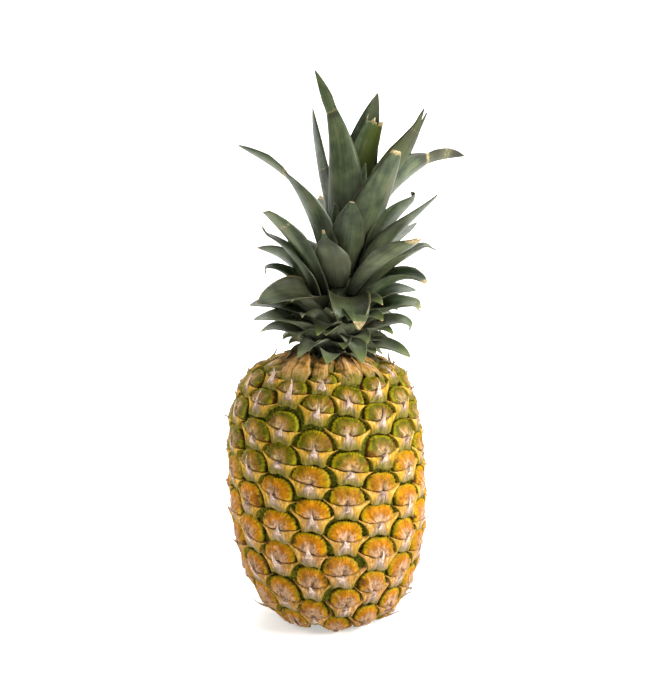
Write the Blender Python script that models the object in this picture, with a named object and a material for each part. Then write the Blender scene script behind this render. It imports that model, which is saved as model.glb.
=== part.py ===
"""A ripe pineapple standing on its cut base, with its crown of leaves on.

The fruit is one fleshy body. Its skin is a spiral of eyes, each higher along the skin
than the one before by a small rise and turned by a fixed angle, so that the eyes fall
into columns and slanting rows. The crown is a short stem that carries a spiral of
channelled leaves, drooping at the bottom and nearly upright at the top.
"""

import math

import bmesh
import bpy
import numpy as np

MM = 0.001

# Fruit, in millimetres
FRUIT_HEIGHT = 157.0
SKIN_RADIUS = 57.4
BELLY_HEIGHT = 80.0
BASE_RADIUS = 20.0
BASE_FULLNESS = 2.12
REST_CLEARANCE = 0.3
SEAT_RADIUS = 22.0
SHOULDER_FULLNESS = 2.85
LEAN = 0.040
LEAN_RETURN_HEIGHT = 118.0
LEAN_RETURN = 0.35
MERIDIAN_STEPS = 400

# Spiral of eyes: angles in degrees, lengths in millimetres along the skin
EYE_TURN = -99.92
EYE_PHASE = 202.9
BASE_EYE_RISE = 1.42
TOP_EYE_RISE = 0.98
EYE_START = -23.40
END_SHRINK = 0.3
END_REACH = 12.0
EYE_MARGIN = 1.5
ROW_STEP = 7
COUNTER_ROW_STEP = 11
COLUMN_STEP = ROW_STEP + COUNTER_ROW_STEP
EYE_SCATTER = 0.9
GROOVE_LIFT = -1.5
DOME_LIFT = 2.0
PEAK_LIFT = 3.0
DOME_SPREAD = 0.6
END_FLATTENING = 0.6
SKIN_SEED = 11

# Cut stalk in the base, and the socket that the crown's stem grows out of
STALK_RADIUS = 13.0
STALK_LENGTH = 6.0
SOCKET_RADIUS = 14.2
SOCKET_DEPTH = 8.0
GAP = 0.4
RING_SIDES = 40

# Crown: heights are from its foot, along its leaning axis
CROWN_FOOT = 155.0
CROWN_LEAN = 6.5
STEM_SIDES = 18
STEM_OUTLINE = (
    (-4.0, 12.4),
    (8.0, 12.4),
    (28.0, 10.4),
    (50.0, 8.4),
    (66.0, 6.2),
    (76.0, 3.6),
    (79.0, 1.2),
)
LEAF_COUNT = 56
LEAF_TURN = -137.5
LEAF_PHASE = -24.0
FIRST_LEAF_HEIGHT = 3.5
LAST_LEAF_HEIGHT = 74.0
LEAF_HEIGHT_POWER = 1.1

# How leaves change from the bottom of the crown (0) to the top (1)
RANK = (0.0, 0.15, 0.30, 0.45, 0.60, 0.75, 0.90, 1.0)
CHORD = (28.0, 34.0, 44.0, 54.0, 62.0, 74.0, 60.0, 34.0)
CHORD_ANGLE = (4.0, 10.0, 24.0, 38.0, 50.0, 64.0, 78.0, 87.0)
LAUNCH_ANGLE = (34.0, 44.0, 56.0, 64.0, 72.0, 80.0, 86.0, 89.0)
TIP_ANGLE = (-48.0, -36.0, -12.0, 16.0, 40.0, 58.0, 74.0, 86.0)
WIDTH = (25.0, 25.0, 25.0, 25.0, 24.0, 21.0, 15.0, 8.0)
ROOT_WIDTH = (0.9, 0.8, 0.6, 0.48, 0.42, 0.4, 0.4, 0.4)
CHANNEL = (0.6, 0.6, 0.6, 0.65, 0.75, 0.95, 1.0, 1.0)

# Leaves that grew their own way: azimuth (0 front, 90 right), chord, chord angle,
# launch angle, tip angle, width, sideways sway and the share of the outline left
HABITS = {
    1: {"azimuth": -6, "chord": 25, "angle": 0, "launch": 40, "tip": -70, "width": 24},
    2: {"azimuth": -158, "width": 22, "root": 0.75},
    3: {"azimuth": 68, "chord": 35, "angle": 8, "launch": 50, "tip": -30, "width": 20},
    4: {"azimuth": -86, "chord": 33, "angle": 12, "launch": 52, "tip": -40, "width": 17},
    5: {"azimuth": 142, "width": 22, "root": 0.75},
    6: {"azimuth": -32, "chord": 30, "angle": -9, "launch": 50, "tip": -80, "width": 24},
    7: {"azimuth": -128, "chord": 28, "angle": -2, "launch": 44, "tip": -50, "width": 18},
    8: {"azimuth": 84, "chord": 37, "angle": 24, "launch": 58, "tip": -45, "width": 20},
    9: {"azimuth": -68, "chord": 41, "angle": 14, "launch": 52, "tip": -14},
    11: {"azimuth": 24, "chord": 34, "angle": -17, "launch": 48, "tip": -80, "width": 26},
    12: {"azimuth": -90, "chord": 43, "angle": 17, "launch": 54, "tip": -18},
    14: {"azimuth": -16, "chord": 32, "angle": 2, "launch": 58, "tip": -80, "width": 27},
    16: {"azimuth": 76, "chord": 44, "angle": 28, "launch": 60, "tip": 4, "cut": 0.93},
    17: {
        "azimuth": -98, "chord": 48, "angle": 34, "launch": 70, "tip": -40,
        "width": 16, "root": 0.5,
    },
    19: {"azimuth": 20, "chord": 36, "angle": 2, "launch": 60, "tip": -65, "width": 23},
    20: {"azimuth": -111, "chord": 59, "angle": 38, "launch": 64, "tip": 0},
    21: {"chord": 42},
    22: {
        "azimuth": -47, "chord": 55, "angle": 12, "launch": 60, "tip": -50,
        "width": 30, "root": 0.34,
    },
    24: {"azimuth": 71, "chord": 46, "angle": 30, "launch": 56, "tip": -28},
    25: {"azimuth": -80, "chord": 60, "angle": 43, "launch": 60, "tip": 12},
    27: {"azimuth": 7, "chord": 38, "angle": -10, "launch": 62, "tip": -86, "width": 27},
    29: {"azimuth": 84, "chord": 59, "angle": 45, "launch": 62, "tip": 36},
    30: {"azimuth": -54, "chord": 64, "angle": 45, "launch": 60, "tip": 30},
    32: {"azimuth": 35, "chord": 63, "angle": 39, "launch": 60, "tip": 32},
    33: {"azimuth": -108, "chord": 46, "angle": 48},
    34: {"azimuth": 126, "angle": 46},
    35: {
        "azimuth": -26, "chord": 37, "angle": 60, "launch": 72, "tip": 76,
        "width": 29, "sway": -5, "cut": 0.9,
    },
    37: {"azimuth": 74, "chord": 70, "angle": 54, "launch": 66, "tip": 50},
    38: {"azimuth": -60, "chord": 70, "angle": 57, "launch": 72, "tip": 36, "width": 22},
    39: {"azimuth": 160},
    40: {"azimuth": 0, "chord": 46, "angle": 68, "launch": 78, "tip": 78, "width": 24},
    41: {"azimuth": -115, "chord": 96, "angle": 48, "launch": 62, "tip": 32, "width": 17},
    42: {"azimuth": 98, "chord": 60, "angle": 57, "launch": 68, "tip": 42},
    43: {"azimuth": -36, "chord": 38, "angle": 78, "width": 14},
    45: {
        "azimuth": 41, "chord": 71, "angle": 73, "launch": 80, "tip": 66,
        "width": 23, "cut": 0.93,
    },
    46: {"azimuth": -112, "chord": 90, "angle": 75, "launch": 80, "tip": 78, "width": 16},
    47: {
        "azimuth": 175, "chord": 101, "angle": 82, "launch": 86, "tip": 84,
        "width": 22, "root": 0.35, "sway": -11,
    },
    48: {
        "azimuth": -20, "chord": 104, "angle": 86, "launch": 84, "tip": 89,
        "width": 25, "sway": -26,
    },
    49: {"azimuth": -128, "chord": 34, "angle": 85, "launch": 85, "tip": 84, "width": 8},
    50: {"azimuth": 111, "chord": 91, "angle": 46, "launch": 70, "tip": -4, "width": 18},
    51: {"azimuth": -70, "chord": 44, "angle": 80, "width": 10},
    52: {
        "azimuth": 176, "chord": 78, "angle": 86, "launch": 88, "tip": 86,
        "width": 16, "sway": -14, "cut": 0.8,
    },
    55: {"azimuth": 96, "chord": 88, "angle": 68, "launch": 72, "tip": 72, "width": 16},
}

LEAF_STATIONS = (0.0, 0.1, 0.22, 0.36, 0.5, 0.64, 0.78, 0.9, 1.0)
LEAF_UPPER = (-1.0, -0.5, 0.0, 0.5, 1.0)
LEAF_LOWER = (0.5, -0.5)
LEAF_FULL_WIDTH_AT = 0.34
LEAF_TIP_WIDTH = 1.6
LEAF_ROOT_THICKNESS = 1.6
LEAF_TIP_THICKNESS = 0.9
LEAF_EDGE_THICKNESS = 0.35
HANDLE = 0.38


def clear_scene():
    for item in list(bpy.data.objects):
        bpy.data.objects.remove(item, do_unlink=True)


def make_material(name, colour, roughness):
    material = bpy.data.materials.new(name)
    material.use_nodes = True
    shader = material.node_tree.nodes["Principled BSDF"]
    shader.inputs["Base Color"].default_value = (*colour, 1.0)
    shader.inputs["Roughness"].default_value = roughness
    shader.inputs["Metallic"].default_value = 0.0
    return material


def add_object(name, points, faces, material):
    """Makes one closed body from points in millimetres and the faces between them."""
    mesh = bpy.data.meshes.new(name)
    body = bmesh.new()
    vertices = [body.verts.new(tuple(float(value) * MM for value in point)) for point in points]
    for face in faces:
        body.faces.new([vertices[index] for index in face])
    bmesh.ops.triangulate(body, faces=body.faces[:])
    bmesh.ops.recalc_face_normals(body, faces=body.faces[:])
    body.to_mesh(mesh)
    body.free()
    mesh.materials.append(material)
    item = bpy.data.objects.new(name, mesh)
    bpy.context.scene.collection.objects.link(item)
    return item


def smoothstep(value):
    value = min(max(value, 0.0), 1.0)
    return value * value * (3.0 - 2.0 * value)


def meridian():
    """The skin's outline from the base ring to the crown's seat, by length along it."""
    height = FRUIT_HEIGHT * (1.0 - np.cos(np.linspace(0.0, math.pi, MERIDIAN_STEPS))) / 2.0
    below = np.clip(1.0 - height / BELLY_HEIGHT, 0.0, 1.0)
    above = np.clip((height - BELLY_HEIGHT) / (FRUIT_HEIGHT - BELLY_HEIGHT), 0.0, 1.0)
    lower = (1.0 - below**BASE_FULLNESS) ** (1.0 / BASE_FULLNESS)
    upper = (1.0 - above**SHOULDER_FULLNESS) ** (1.0 / SHOULDER_FULLNESS)
    radius = np.where(
        height < BELLY_HEIGHT,
        BASE_RADIUS + (SKIN_RADIUS - BASE_RADIUS) * lower,
        SEAT_RADIUS + (SKIN_RADIUS - SEAT_RADIUS) * upper,
    )
    steps = np.hypot(np.diff(radius), np.diff(height))
    along = np.concatenate([[0.0], np.cumsum(steps)])
    return along, radius, height


ALONG, RADIUS, HEIGHT = meridian()
SKIN_LENGTH = float(ALONG[-1])
OUT_R = np.gradient(HEIGHT, ALONG)
OUT_Z = -np.gradient(RADIUS, ALONG)


def axis_shift(height):
    """How far the fruit's centre line stands off to the side at a height."""
    reach = FRUIT_HEIGHT - LEAN_RETURN_HEIGHT
    back = smoothstep((height - LEAN_RETURN_HEIGHT) / reach)
    return -LEAN * height * (1.0 - LEAN_RETURN * back)


def skin_point(angle, along, lift):
    """A point over the skin at an angle in degrees and a length along the meridian."""
    radius = np.interp(along, ALONG, RADIUS) + lift * np.interp(along, ALONG, OUT_R)
    height = np.interp(along, ALONG, HEIGHT) + lift * np.interp(along, ALONG, OUT_Z)
    height = max(height, REST_CLEARANCE)
    turn = math.radians(angle)
    return (
        radius * math.sin(turn) + axis_shift(height),
        -radius * math.cos(turn),
        height,
    )


def eye_centres():
    """Angle and length along the skin of each eye on the spiral, with a little scatter."""
    heights = []
    along = EYE_START
    while along < SKIN_LENGTH - 2.0 * EYE_START:
        heights.append(along)
        ends = math.exp(-max(along, 0.0) / END_REACH)
        ends += math.exp(-max(SKIN_LENGTH - along, 0.0) / END_REACH)
        left = min(max(1.0 - along / SKIN_LENGTH, 0.0), 1.0)
        rise = TOP_EYE_RISE + (BASE_EYE_RISE - TOP_EYE_RISE) * left**2
        along += rise * (1.0 - END_SHRINK * ends)
    scatter = np.random.default_rng(SKIN_SEED).normal(0.0, EYE_SCATTER, (len(heights), 2))
    centres = []
    for index, along in enumerate(heights):
        width = math.degrees(1.0 / max(float(np.interp(along, ALONG, RADIUS)), BASE_RADIUS))
        angle = EYE_PHASE + EYE_TURN * index + scatter[index, 0] * width
        centres.append((angle, along + scatter[index, 1]))
    return centres


def near(angle, reference):
    """The same angle, taken by whole turns to within half a turn of the reference."""
    return angle - 360.0 * round((angle - reference) / 360.0)


def eye_corner(centres, kind, index):
    """The corner where three neighbouring eyes meet, and a name for it."""
    middle = ROW_STEP if kind == "row" else COUNTER_ROW_STEP
    three = [centres[index], centres[index + middle], centres[index + COLUMN_STEP]]
    angle = sum(near(eye[0], three[0][0]) for eye in three) / 3.0
    return angle, sum(eye[1] for eye in three) / 3.0


def corner_names(index):
    """The six corners of an eye, counter-clockwise from its upper right."""
    return (
        ("row", index),
        ("counter", index),
        ("row", index - ROW_STEP),
        ("counter", index - COLUMN_STEP),
        ("row", index - COLUMN_STEP),
        ("counter", index - COUNTER_ROW_STEP),
    )


def kept_eyes(centres):
    """The unbroken run of eyes whose corners all lie on the skin."""
    kept = []
    for index in range(COLUMN_STEP, len(centres) - COLUMN_STEP):
        ends = [eye_corner(centres, *name)[1] for name in corner_names(index)]
        if min(ends) > EYE_MARGIN and max(ends) < SKIN_LENGTH - EYE_MARGIN:
            kept.append(index)
    return range(kept[0], kept[-1] + 1)


def ring(points, radius, height, sides=RING_SIDES):
    """Adds a level ring of points round the centre line and returns its indices."""
    first = len(points)
    shift = axis_shift(height) if height > STALK_LENGTH else 0.0
    for side in range(sides):
        turn = 2.0 * math.pi * side / sides
        points.append((radius * math.sin(turn) + shift, -radius * math.cos(turn), height))
    return list(range(first, first + sides))


def centred_ring(points, radius, height):
    """A level ring round the crown's foot, which stands over the base's centre."""
    first = len(points)
    for side in range(RING_SIDES):
        turn = 2.0 * math.pi * side / RING_SIDES
        points.append((radius * math.sin(turn), -radius * math.cos(turn), height))
    return list(range(first, first + RING_SIDES))


def band(faces, lower, upper):
    """Joins two rings that have the same number of points."""
    for side in range(len(lower)):
        after = (side + 1) % len(lower)
        faces.append((lower[side], lower[after], upper[after], upper[side]))


def zip_loops(faces, first, second):
    """Joins two closed loops of (angle, index) pairs, each sorted by angle."""
    start = first[0][0]
    offset = min(range(len(second)), key=lambda item: abs(near(second[item][0], start) - start))
    second = second[offset:] + second[:offset]
    one = [(near(first[0][0], start), first[0][1])]
    for angle, index in first[1:] + first[:1]:
        one.append((one[-1][0] + (angle - one[-1][0]) % 360.0, index))
    two = [(near(second[0][0], start), second[0][1])]
    for angle, index in second[1:] + second[:1]:
        two.append((two[-1][0] + (angle - two[-1][0]) % 360.0, index))
    left, right = 0, 0
    while left < len(one) - 1 or right < len(two) - 1:
        take_left = right == len(two) - 1 or (
            left < len(one) - 1 and one[left + 1][0] <= two[right + 1][0]
        )
        if take_left:
            faces.append((one[left][1], one[left + 1][1], two[right][1]))
            left += 1
        else:
            faces.append((one[left][1], two[right + 1][1], two[right][1]))
            right += 1


def eye_growth(along):
    """How fully an eye stands out: less towards both ends of the skin."""
    nearest = max(min(along, SKIN_LENGTH - along), 0.0)
    return 1.0 - END_FLATTENING * math.exp(-nearest / END_REACH)


def add_eye(points, faces, centres, index, grooves):
    """Adds one eye: a grooved rim shared with its neighbours, a dome and a peak."""
    angle, along = centres[index]
    growth = eye_growth(along)
    rim = []
    corners = []
    for name in corner_names(index):
        corner = eye_corner(centres, *name)
        corners.append((name, (near(corner[0], angle), corner[1])))
    for place, (name, corner) in enumerate(corners):
        next_name, following = corners[(place + 1) % len(corners)]
        middle = ((corner[0] + following[0]) / 2.0, (corner[1] + following[1]) / 2.0)
        for key, spot in ((name, corner), (tuple(sorted((name, next_name))), middle)):
            if key not in grooves:
                grooves[key] = (len(points), spot)
                points.append(skin_point(*spot, GROOVE_LIFT))
            rim.append(grooves[key][0])
    dome = []
    for _, corner in corners:
        spread = (
            angle + (corner[0] - angle) * DOME_SPREAD,
            along + (corner[1] - along) * DOME_SPREAD,
        )
        dome.append(len(points))
        points.append(skin_point(*spread, DOME_LIFT * growth))
    peak = len(points)
    points.append(skin_point(angle, along, PEAK_LIFT * growth))
    for place in range(len(corners)):
        after = (place + 1) % len(corners)
        rim_after = rim[(2 * place + 2) % len(rim)]
        faces.append((rim[2 * place], rim[2 * place + 1], dome[place]))
        faces.append((rim[2 * place + 1], dome[after], dome[place]))
        faces.append((rim[2 * place + 1], rim_after, dome[after]))
        faces.append((dome[place], dome[after], peak))
    return rim


def open_rims(rims, grooves):
    """The groove points along the lower and the upper end of the eyes, sorted by angle."""
    sides = {}
    for rim in rims:
        for place, index in enumerate(rim):
            side = frozenset((index, rim[(place + 1) % len(rim)]))
            sides[side] = sides.get(side, 0) + 1
    loose = {index for side, count in sides.items() if count == 1 for index in side}
    spots = [(spot, index) for index, spot in grooves.values() if index in loose]
    lower = sorted((spot[0] % 360.0, index) for spot, index in spots if spot[1] < SKIN_LENGTH / 2.0)
    upper = sorted((spot[0] % 360.0, index) for spot, index in spots if spot[1] > SKIN_LENGTH / 2.0)
    return lower, upper


def make_fruit(material):
    points, faces, grooves = [], [], {}
    centres = eye_centres()
    rims = [add_eye(points, faces, centres, index, grooves) for index in kept_eyes(centres)]
    lower, upper = open_rims(rims, grooves)
    step = 360.0 / RING_SIDES

    base = ring(points, BASE_RADIUS, 0.0)
    zip_loops(faces, lower, [(step * place, index) for place, index in enumerate(base)])
    inner = ring(points, STALK_RADIUS + GAP, 0.0)
    band(faces, base, inner)
    recess = ring(points, STALK_RADIUS + GAP, STALK_LENGTH)
    band(faces, inner, recess)
    faces.append(recess)

    seat = ring(points, SEAT_RADIUS, FRUIT_HEIGHT)
    zip_loops(faces, upper, [(step * place, index) for place, index in enumerate(seat)])
    socket = centred_ring(points, SOCKET_RADIUS, FRUIT_HEIGHT)
    band(faces, seat, socket)
    floor = centred_ring(points, SOCKET_RADIUS, FRUIT_HEIGHT - SOCKET_DEPTH)
    band(faces, socket, floor)
    faces.append(floor)
    return add_object("fruit", points, faces, material)


def make_stalk(material):
    """The cut end of the stalk, flush with the base."""
    points, faces = [], []
    cut = centred_ring(points, STALK_RADIUS, 0.0)
    top = centred_ring(points, STALK_RADIUS, STALK_LENGTH - GAP)
    band(faces, cut, top)
    faces.append(cut)
    faces.append(top)
    return add_object("fruit_stalk", points, faces, material)


def crown_point(azimuth, reach, height, aside=0.0):
    """A point in the crown: reach from its axis, height along it, aside round it."""
    turn = math.radians(azimuth)
    across = reach * math.sin(turn) + aside * math.cos(turn)
    depth = -reach * math.cos(turn) + aside * math.sin(turn)
    lean = math.radians(CROWN_LEAN)
    return (
        across * math.cos(lean) + height * math.sin(lean),
        depth,
        CROWN_FOOT + height * math.cos(lean) - across * math.sin(lean),
    )


def stem_radius(height):
    return float(np.interp(height, *zip(*STEM_OUTLINE)))


def make_stem(material):
    points, faces = [], []
    rings = []
    for height, radius in STEM_OUTLINE:
        rings.append(list(range(len(points), len(points) + STEM_SIDES)))
        for side in range(STEM_SIDES):
            points.append(crown_point(360.0 * side / STEM_SIDES, radius, height))
    for lower, upper in zip(rings, rings[1:]):
        band(faces, lower, upper)
    faces.append(rings[0])
    faces.append(rings[-1])
    return add_object("crown_stem", points, faces, material)


def leaf_habit(number):
    """A leaf's place and bearing: what its rank gives, changed by any habit of its own."""
    rank = (number - 1) / (LEAF_COUNT - 1)
    spread = LAST_LEAF_HEIGHT - FIRST_LEAF_HEIGHT
    habit = {
        "azimuth": LEAF_PHASE + LEAF_TURN * (number - 1),
        "foot": FIRST_LEAF_HEIGHT + spread * rank**LEAF_HEIGHT_POWER,
        "chord": float(np.interp(rank, RANK, CHORD)),
        "angle": float(np.interp(rank, RANK, CHORD_ANGLE)),
        "launch": float(np.interp(rank, RANK, LAUNCH_ANGLE)),
        "tip": float(np.interp(rank, RANK, TIP_ANGLE)),
        "width": float(np.interp(rank, RANK, WIDTH)),
        "root": float(np.interp(rank, RANK, ROOT_WIDTH)),
        "channel": float(np.interp(rank, RANK, CHANNEL)),
        "sway": 0.0,
        "cut": 1.0,
    }
    habit.update(HABITS.get(number, {}))
    return habit


def leaf_line(habit, share):
    """Reach, height and direction of a leaf's upper face along its middle."""
    start = np.array((stem_radius(habit["foot"]) + GAP, habit["foot"]))
    chord = math.radians(habit["angle"])
    launch = math.radians(habit["launch"])
    tip = math.radians(habit["tip"])
    end = start + habit["chord"] * np.array((math.cos(chord), math.sin(chord)))
    handle = HANDLE * habit["chord"]
    first = start + handle * np.array((math.cos(launch), math.sin(launch)))
    second = end - handle * np.array((math.cos(tip), math.sin(tip)))
    rest = 1.0 - share
    point = rest**3 * start + 3 * rest**2 * share * first
    point = point + 3 * rest * share**2 * second + share**3 * end
    slope = rest**2 * (first - start) + 2 * rest * share * (second - first)
    slope = slope + share**2 * (end - second)
    return point, slope / np.linalg.norm(slope)


def leaf_width(habit, share):
    grown = habit["root"] + (1.0 - habit["root"]) * smoothstep(share / LEAF_FULL_WIDTH_AT)
    along = share * habit["cut"]
    taper = (1.0 - along**2.6) ** 0.8
    return max(habit["width"] * grown * taper, LEAF_TIP_WIDTH)


def leaf_section(habit, share):
    """The points round a leaf's channelled cross-section."""
    (reach, height), (run, rise) = leaf_line(habit, share)
    half = leaf_width(habit, share) / 2.0
    opening = smoothstep(share / LEAF_FULL_WIDTH_AT)
    root = stem_radius(habit["foot"]) + GAP
    channel = root + (habit["channel"] * habit["width"] - root) * opening
    thick = LEAF_ROOT_THICKNESS + (LEAF_TIP_THICKNESS - LEAF_ROOT_THICKNESS) * share
    section = []
    for side, upper in [(u, True) for u in LEAF_UPPER] + [(u, False) for u in LEAF_LOWER]:
        bend = side * half / channel
        depth = LEAF_EDGE_THICKNESS + (thick - LEAF_EDGE_THICKNESS) * (1.0 - side * side)
        radius = channel if upper else channel + depth
        aside = radius * math.sin(bend) + habit["sway"] * share**3
        lift = channel - radius * math.cos(bend)
        section.append(
            crown_point(habit["azimuth"], reach - rise * lift, height + run * lift, aside)
        )
    return section


def make_leaf(number, material):
    habit = leaf_habit(number)
    points, faces, loops = [], [], []
    for share in LEAF_STATIONS:
        section = leaf_section(habit, share)
        loops.append(list(range(len(points), len(points) + len(section))))
        points.extend(section)
    for lower, upper in zip(loops, loops[1:]):
        band(faces, lower, upper)
    faces.append(loops[0])
    faces.append(loops[-1])
    return add_object(f"leaf_{number:02d}", points, faces, material)


def main():
    clear_scene()
    skin = make_material("ripe_skin", (0.50, 0.27, 0.05), 0.55)
    stalk = make_material("cut_stalk", (0.36, 0.24, 0.12), 0.8)
    stem = make_material("stem_core", (0.30, 0.33, 0.18), 0.7)
    leaf = make_material("leaf_skin", (0.09, 0.14, 0.08), 0.5)
    make_fruit(skin)
    make_stalk(stalk)
    make_stem(stem)
    for number in range(1, LEAF_COUNT + 1):
        make_leaf(number, leaf)


main()
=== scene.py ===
# A ripe pineapple with its crown on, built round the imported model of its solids.
import functools
import math

import bmesh
import bpy
import numpy as np
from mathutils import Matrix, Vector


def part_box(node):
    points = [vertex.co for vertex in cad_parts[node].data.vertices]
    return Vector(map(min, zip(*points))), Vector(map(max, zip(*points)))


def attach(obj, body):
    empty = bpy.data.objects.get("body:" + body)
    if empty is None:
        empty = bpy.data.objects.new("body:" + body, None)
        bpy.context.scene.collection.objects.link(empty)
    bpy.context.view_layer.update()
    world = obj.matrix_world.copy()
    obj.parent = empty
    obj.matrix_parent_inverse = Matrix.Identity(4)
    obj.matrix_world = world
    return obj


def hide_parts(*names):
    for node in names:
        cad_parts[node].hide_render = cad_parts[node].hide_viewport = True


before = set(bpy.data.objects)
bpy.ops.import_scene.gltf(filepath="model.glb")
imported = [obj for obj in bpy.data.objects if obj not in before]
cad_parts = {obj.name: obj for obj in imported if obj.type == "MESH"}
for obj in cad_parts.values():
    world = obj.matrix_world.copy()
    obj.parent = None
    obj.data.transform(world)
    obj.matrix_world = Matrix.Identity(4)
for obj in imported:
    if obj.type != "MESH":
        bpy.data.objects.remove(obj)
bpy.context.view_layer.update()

mm = 0.001


def linear(hexColour):
    # sRGB hex to the linear colour that shaders take
    parts = [int(hexColour[i:i + 2], 16) / 255.0 for i in (1, 3, 5)]
    return [c / 12.92 if c <= 0.04045 else ((c + 0.055) / 1.055) ** 2.4 for c in parts] + [1.0]


def addNode(tree, kind, inputs=(), output=0, stops=(), **settings):
    # one node, given back as one of its outputs: inputs in order or by name, each a value, a hex
    # colour or another node's output; stops are a colour ramp's places and colours. In a Mix of
    # colours the mask is input 0, the colours are inputs 6 and 7, and the result is output 2
    node = tree.nodes.new("ShaderNode" + kind)
    for key, value in settings.items():
        setattr(node, key, value)
    for key, value in inputs.items() if isinstance(inputs, dict) else enumerate(inputs):
        if isinstance(value, bpy.types.NodeSocket):
            tree.links.new(value, node.inputs[key])
        else:
            node.inputs[key].default_value = linear(value) if isinstance(value, str) else value
    for number, (place, colour) in enumerate(stops):
        ramp = node.color_ramp.elements
        stop = ramp[number] if number < 2 else ramp.new(place)
        stop.position = place
        stop.color = linear(colour)
    return node.outputs[output]


def newMaterial(name, roughness, specular):
    # a material, what adds a node to it, and its shader
    material = bpy.data.materials.new(name)
    material.use_nodes = True
    shader = material.node_tree.nodes["Principled BSDF"]
    shader.inputs["Roughness"].default_value = roughness
    shader.inputs["Specular IOR Level"].default_value = specular
    return material, functools.partial(addNode, material.node_tree), shader


def addPiece(name, points, faces, material, attributes=None):
    # one mesh piece from points in millimetres, with smooth faces and named point attributes
    mesh = bpy.data.meshes.new(name)
    mesh.from_pydata((np.asarray(points) * mm).tolist(), [], faces)
    loose = bmesh.new()
    loose.from_mesh(mesh)
    bmesh.ops.recalc_face_normals(loose, faces=loose.faces)
    loose.to_mesh(mesh)
    loose.free()
    mesh.materials.append(material)
    mesh.shade_smooth()
    for key, values in (attributes or {}).items():
        layer = mesh.attributes.new(key, "FLOAT_VECTOR", "POINT")
        layer.data.foreach_set("vector", np.asarray(values, np.float32).ravel())
    mesh.update()
    piece = bpy.data.objects.new(name, mesh)
    bpy.context.scene.collection.objects.link(piece)
    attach(piece, "root")
    return piece


def gridFaces(rows, columns, first=0, closed=False):
    # quads between rows of points; closed joins each row's ends
    faces = []
    for row in range(rows - 1):
        for column in range(columns if closed else columns - 1):
            after = (column + 1) % columns
            a, b = first + row * columns, first + (row + 1) * columns
            faces.append((a + column, a + after, b + after, b + column))
    return faces


def smooth(value):
    value = np.clip(value, 0.0, 1.0)
    return value * value * (3.0 - 2.0 * value)


# The fruit's outline in millimetres, by the same law as the solid
body = {
    "height": 157.0,
    "radius": 57.4,
    "belly": 80.0,
    "baseRadius": 20.0,
    "baseFullness": 2.12,
    "seatRadius": 22.0,
    "shoulderFullness": 2.85,
    "lean": 0.040,
    "leanReturnHeight": 118.0,
    "leanReturn": 0.35,
}


def outline():
    # length up the skin, radius and height at points close together
    height = body["height"] * (1.0 - np.cos(np.linspace(0.0, math.pi, 400))) / 2.0
    below = np.clip(1.0 - height / body["belly"], 0.0, 1.0)
    above = np.clip((height - body["belly"]) / (body["height"] - body["belly"]), 0.0, 1.0)
    lower = (1.0 - below ** body["baseFullness"]) ** (1.0 / body["baseFullness"])
    upper = (1.0 - above ** body["shoulderFullness"]) ** (1.0 / body["shoulderFullness"])
    radius = np.where(
        height < body["belly"],
        body["baseRadius"] + (body["radius"] - body["baseRadius"]) * lower,
        body["seatRadius"] + (body["radius"] - body["seatRadius"]) * upper,
    )
    along = np.concatenate([[0.0], np.cumsum(np.hypot(np.diff(radius), np.diff(height)))])
    return along, radius, height


outAlong, outRadius, outHeight = outline()
skinLength = float(outAlong[-1])
outwardR = np.gradient(outHeight, outAlong)
outwardZ = -np.gradient(outRadius, outAlong)

# the skin goes on inwards over the top, to the crown's stem
topAlong = np.append(outAlong, [skinLength + 5.0, skinLength + 11.0])
topRadius = np.append(outRadius, [body["seatRadius"] - 5.0, body["seatRadius"] - 11.0])
topHeight = np.append(outHeight, [body["height"] + 0.4, body["height"] + 0.4])
topOutR = np.append(outwardR, [0.0, 0.0])
topOutZ = np.append(outwardZ, [1.0, 1.0])


floorRoom = {"least": 0.15, "under": 0.35, "softness": 0.6}


def aboveFloor(height):
    # what would dip under the floor is pressed into the last of the room above it, in its order
    soft = floorRoom["softness"]
    return floorRoom["least"] + soft * np.logaddexp(0.0, (height - floorRoom["under"]) / soft)


def skinPoints(angle, along, lift):
    # points over the skin, in millimetres, from degrees round it and length up it
    along = np.clip(along, 0.0, topAlong[-1])
    radius = np.interp(along, topAlong, topRadius) + lift * np.interp(along, topAlong, topOutR)
    height = np.interp(along, topAlong, topHeight) + lift * np.interp(along, topAlong, topOutZ)
    back = smooth((height - body["leanReturnHeight"]) / (body["height"] - body["leanReturnHeight"]))
    shift = -body["lean"] * height * (1.0 - body["leanReturn"] * back)
    turn = np.radians(angle)
    return np.stack([radius * np.sin(turn) + shift, -radius * np.cos(turn), aboveFloor(height)], -1)


# The spiral of eyes, by the same law as the solid
spiral = {
    "turn": -99.92,
    "phase": 202.9,
    "start": -23.40,
    "baseRise": 1.42,
    "topRise": 0.98,
    "endShrink": 0.3,
    "endReach": 12.0,
    "endFlatness": 0.6,
    "scatter": 0.9,
    "seed": 11,
    "kept": (35, 194),
    "row": 7,
    "column": 18,
}


def eyeCentres():
    heights = []
    along = spiral["start"]
    while along < skinLength - 2.0 * spiral["start"]:
        heights.append(along)
        ends = math.exp(-max(along, 0.0) / spiral["endReach"])
        ends += math.exp(-max(skinLength - along, 0.0) / spiral["endReach"])
        left = min(max(1.0 - along / skinLength, 0.0), 1.0)
        rise = spiral["topRise"] + (spiral["baseRise"] - spiral["topRise"]) * left**2
        along += rise * (1.0 - spiral["endShrink"] * ends)
    scatter = np.random.default_rng(spiral["seed"]).normal(0.0, spiral["scatter"], (len(heights), 2))
    centres = []
    for index, along in enumerate(heights):
        width = math.degrees(1.0 / max(np.interp(along, outAlong, outRadius), body["baseRadius"]))
        angle = spiral["phase"] + spiral["turn"] * index + scatter[index, 0] * width
        centres.append((angle, along + scatter[index, 1]))
    return np.array(centres)


centres = eyeCentres()


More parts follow.
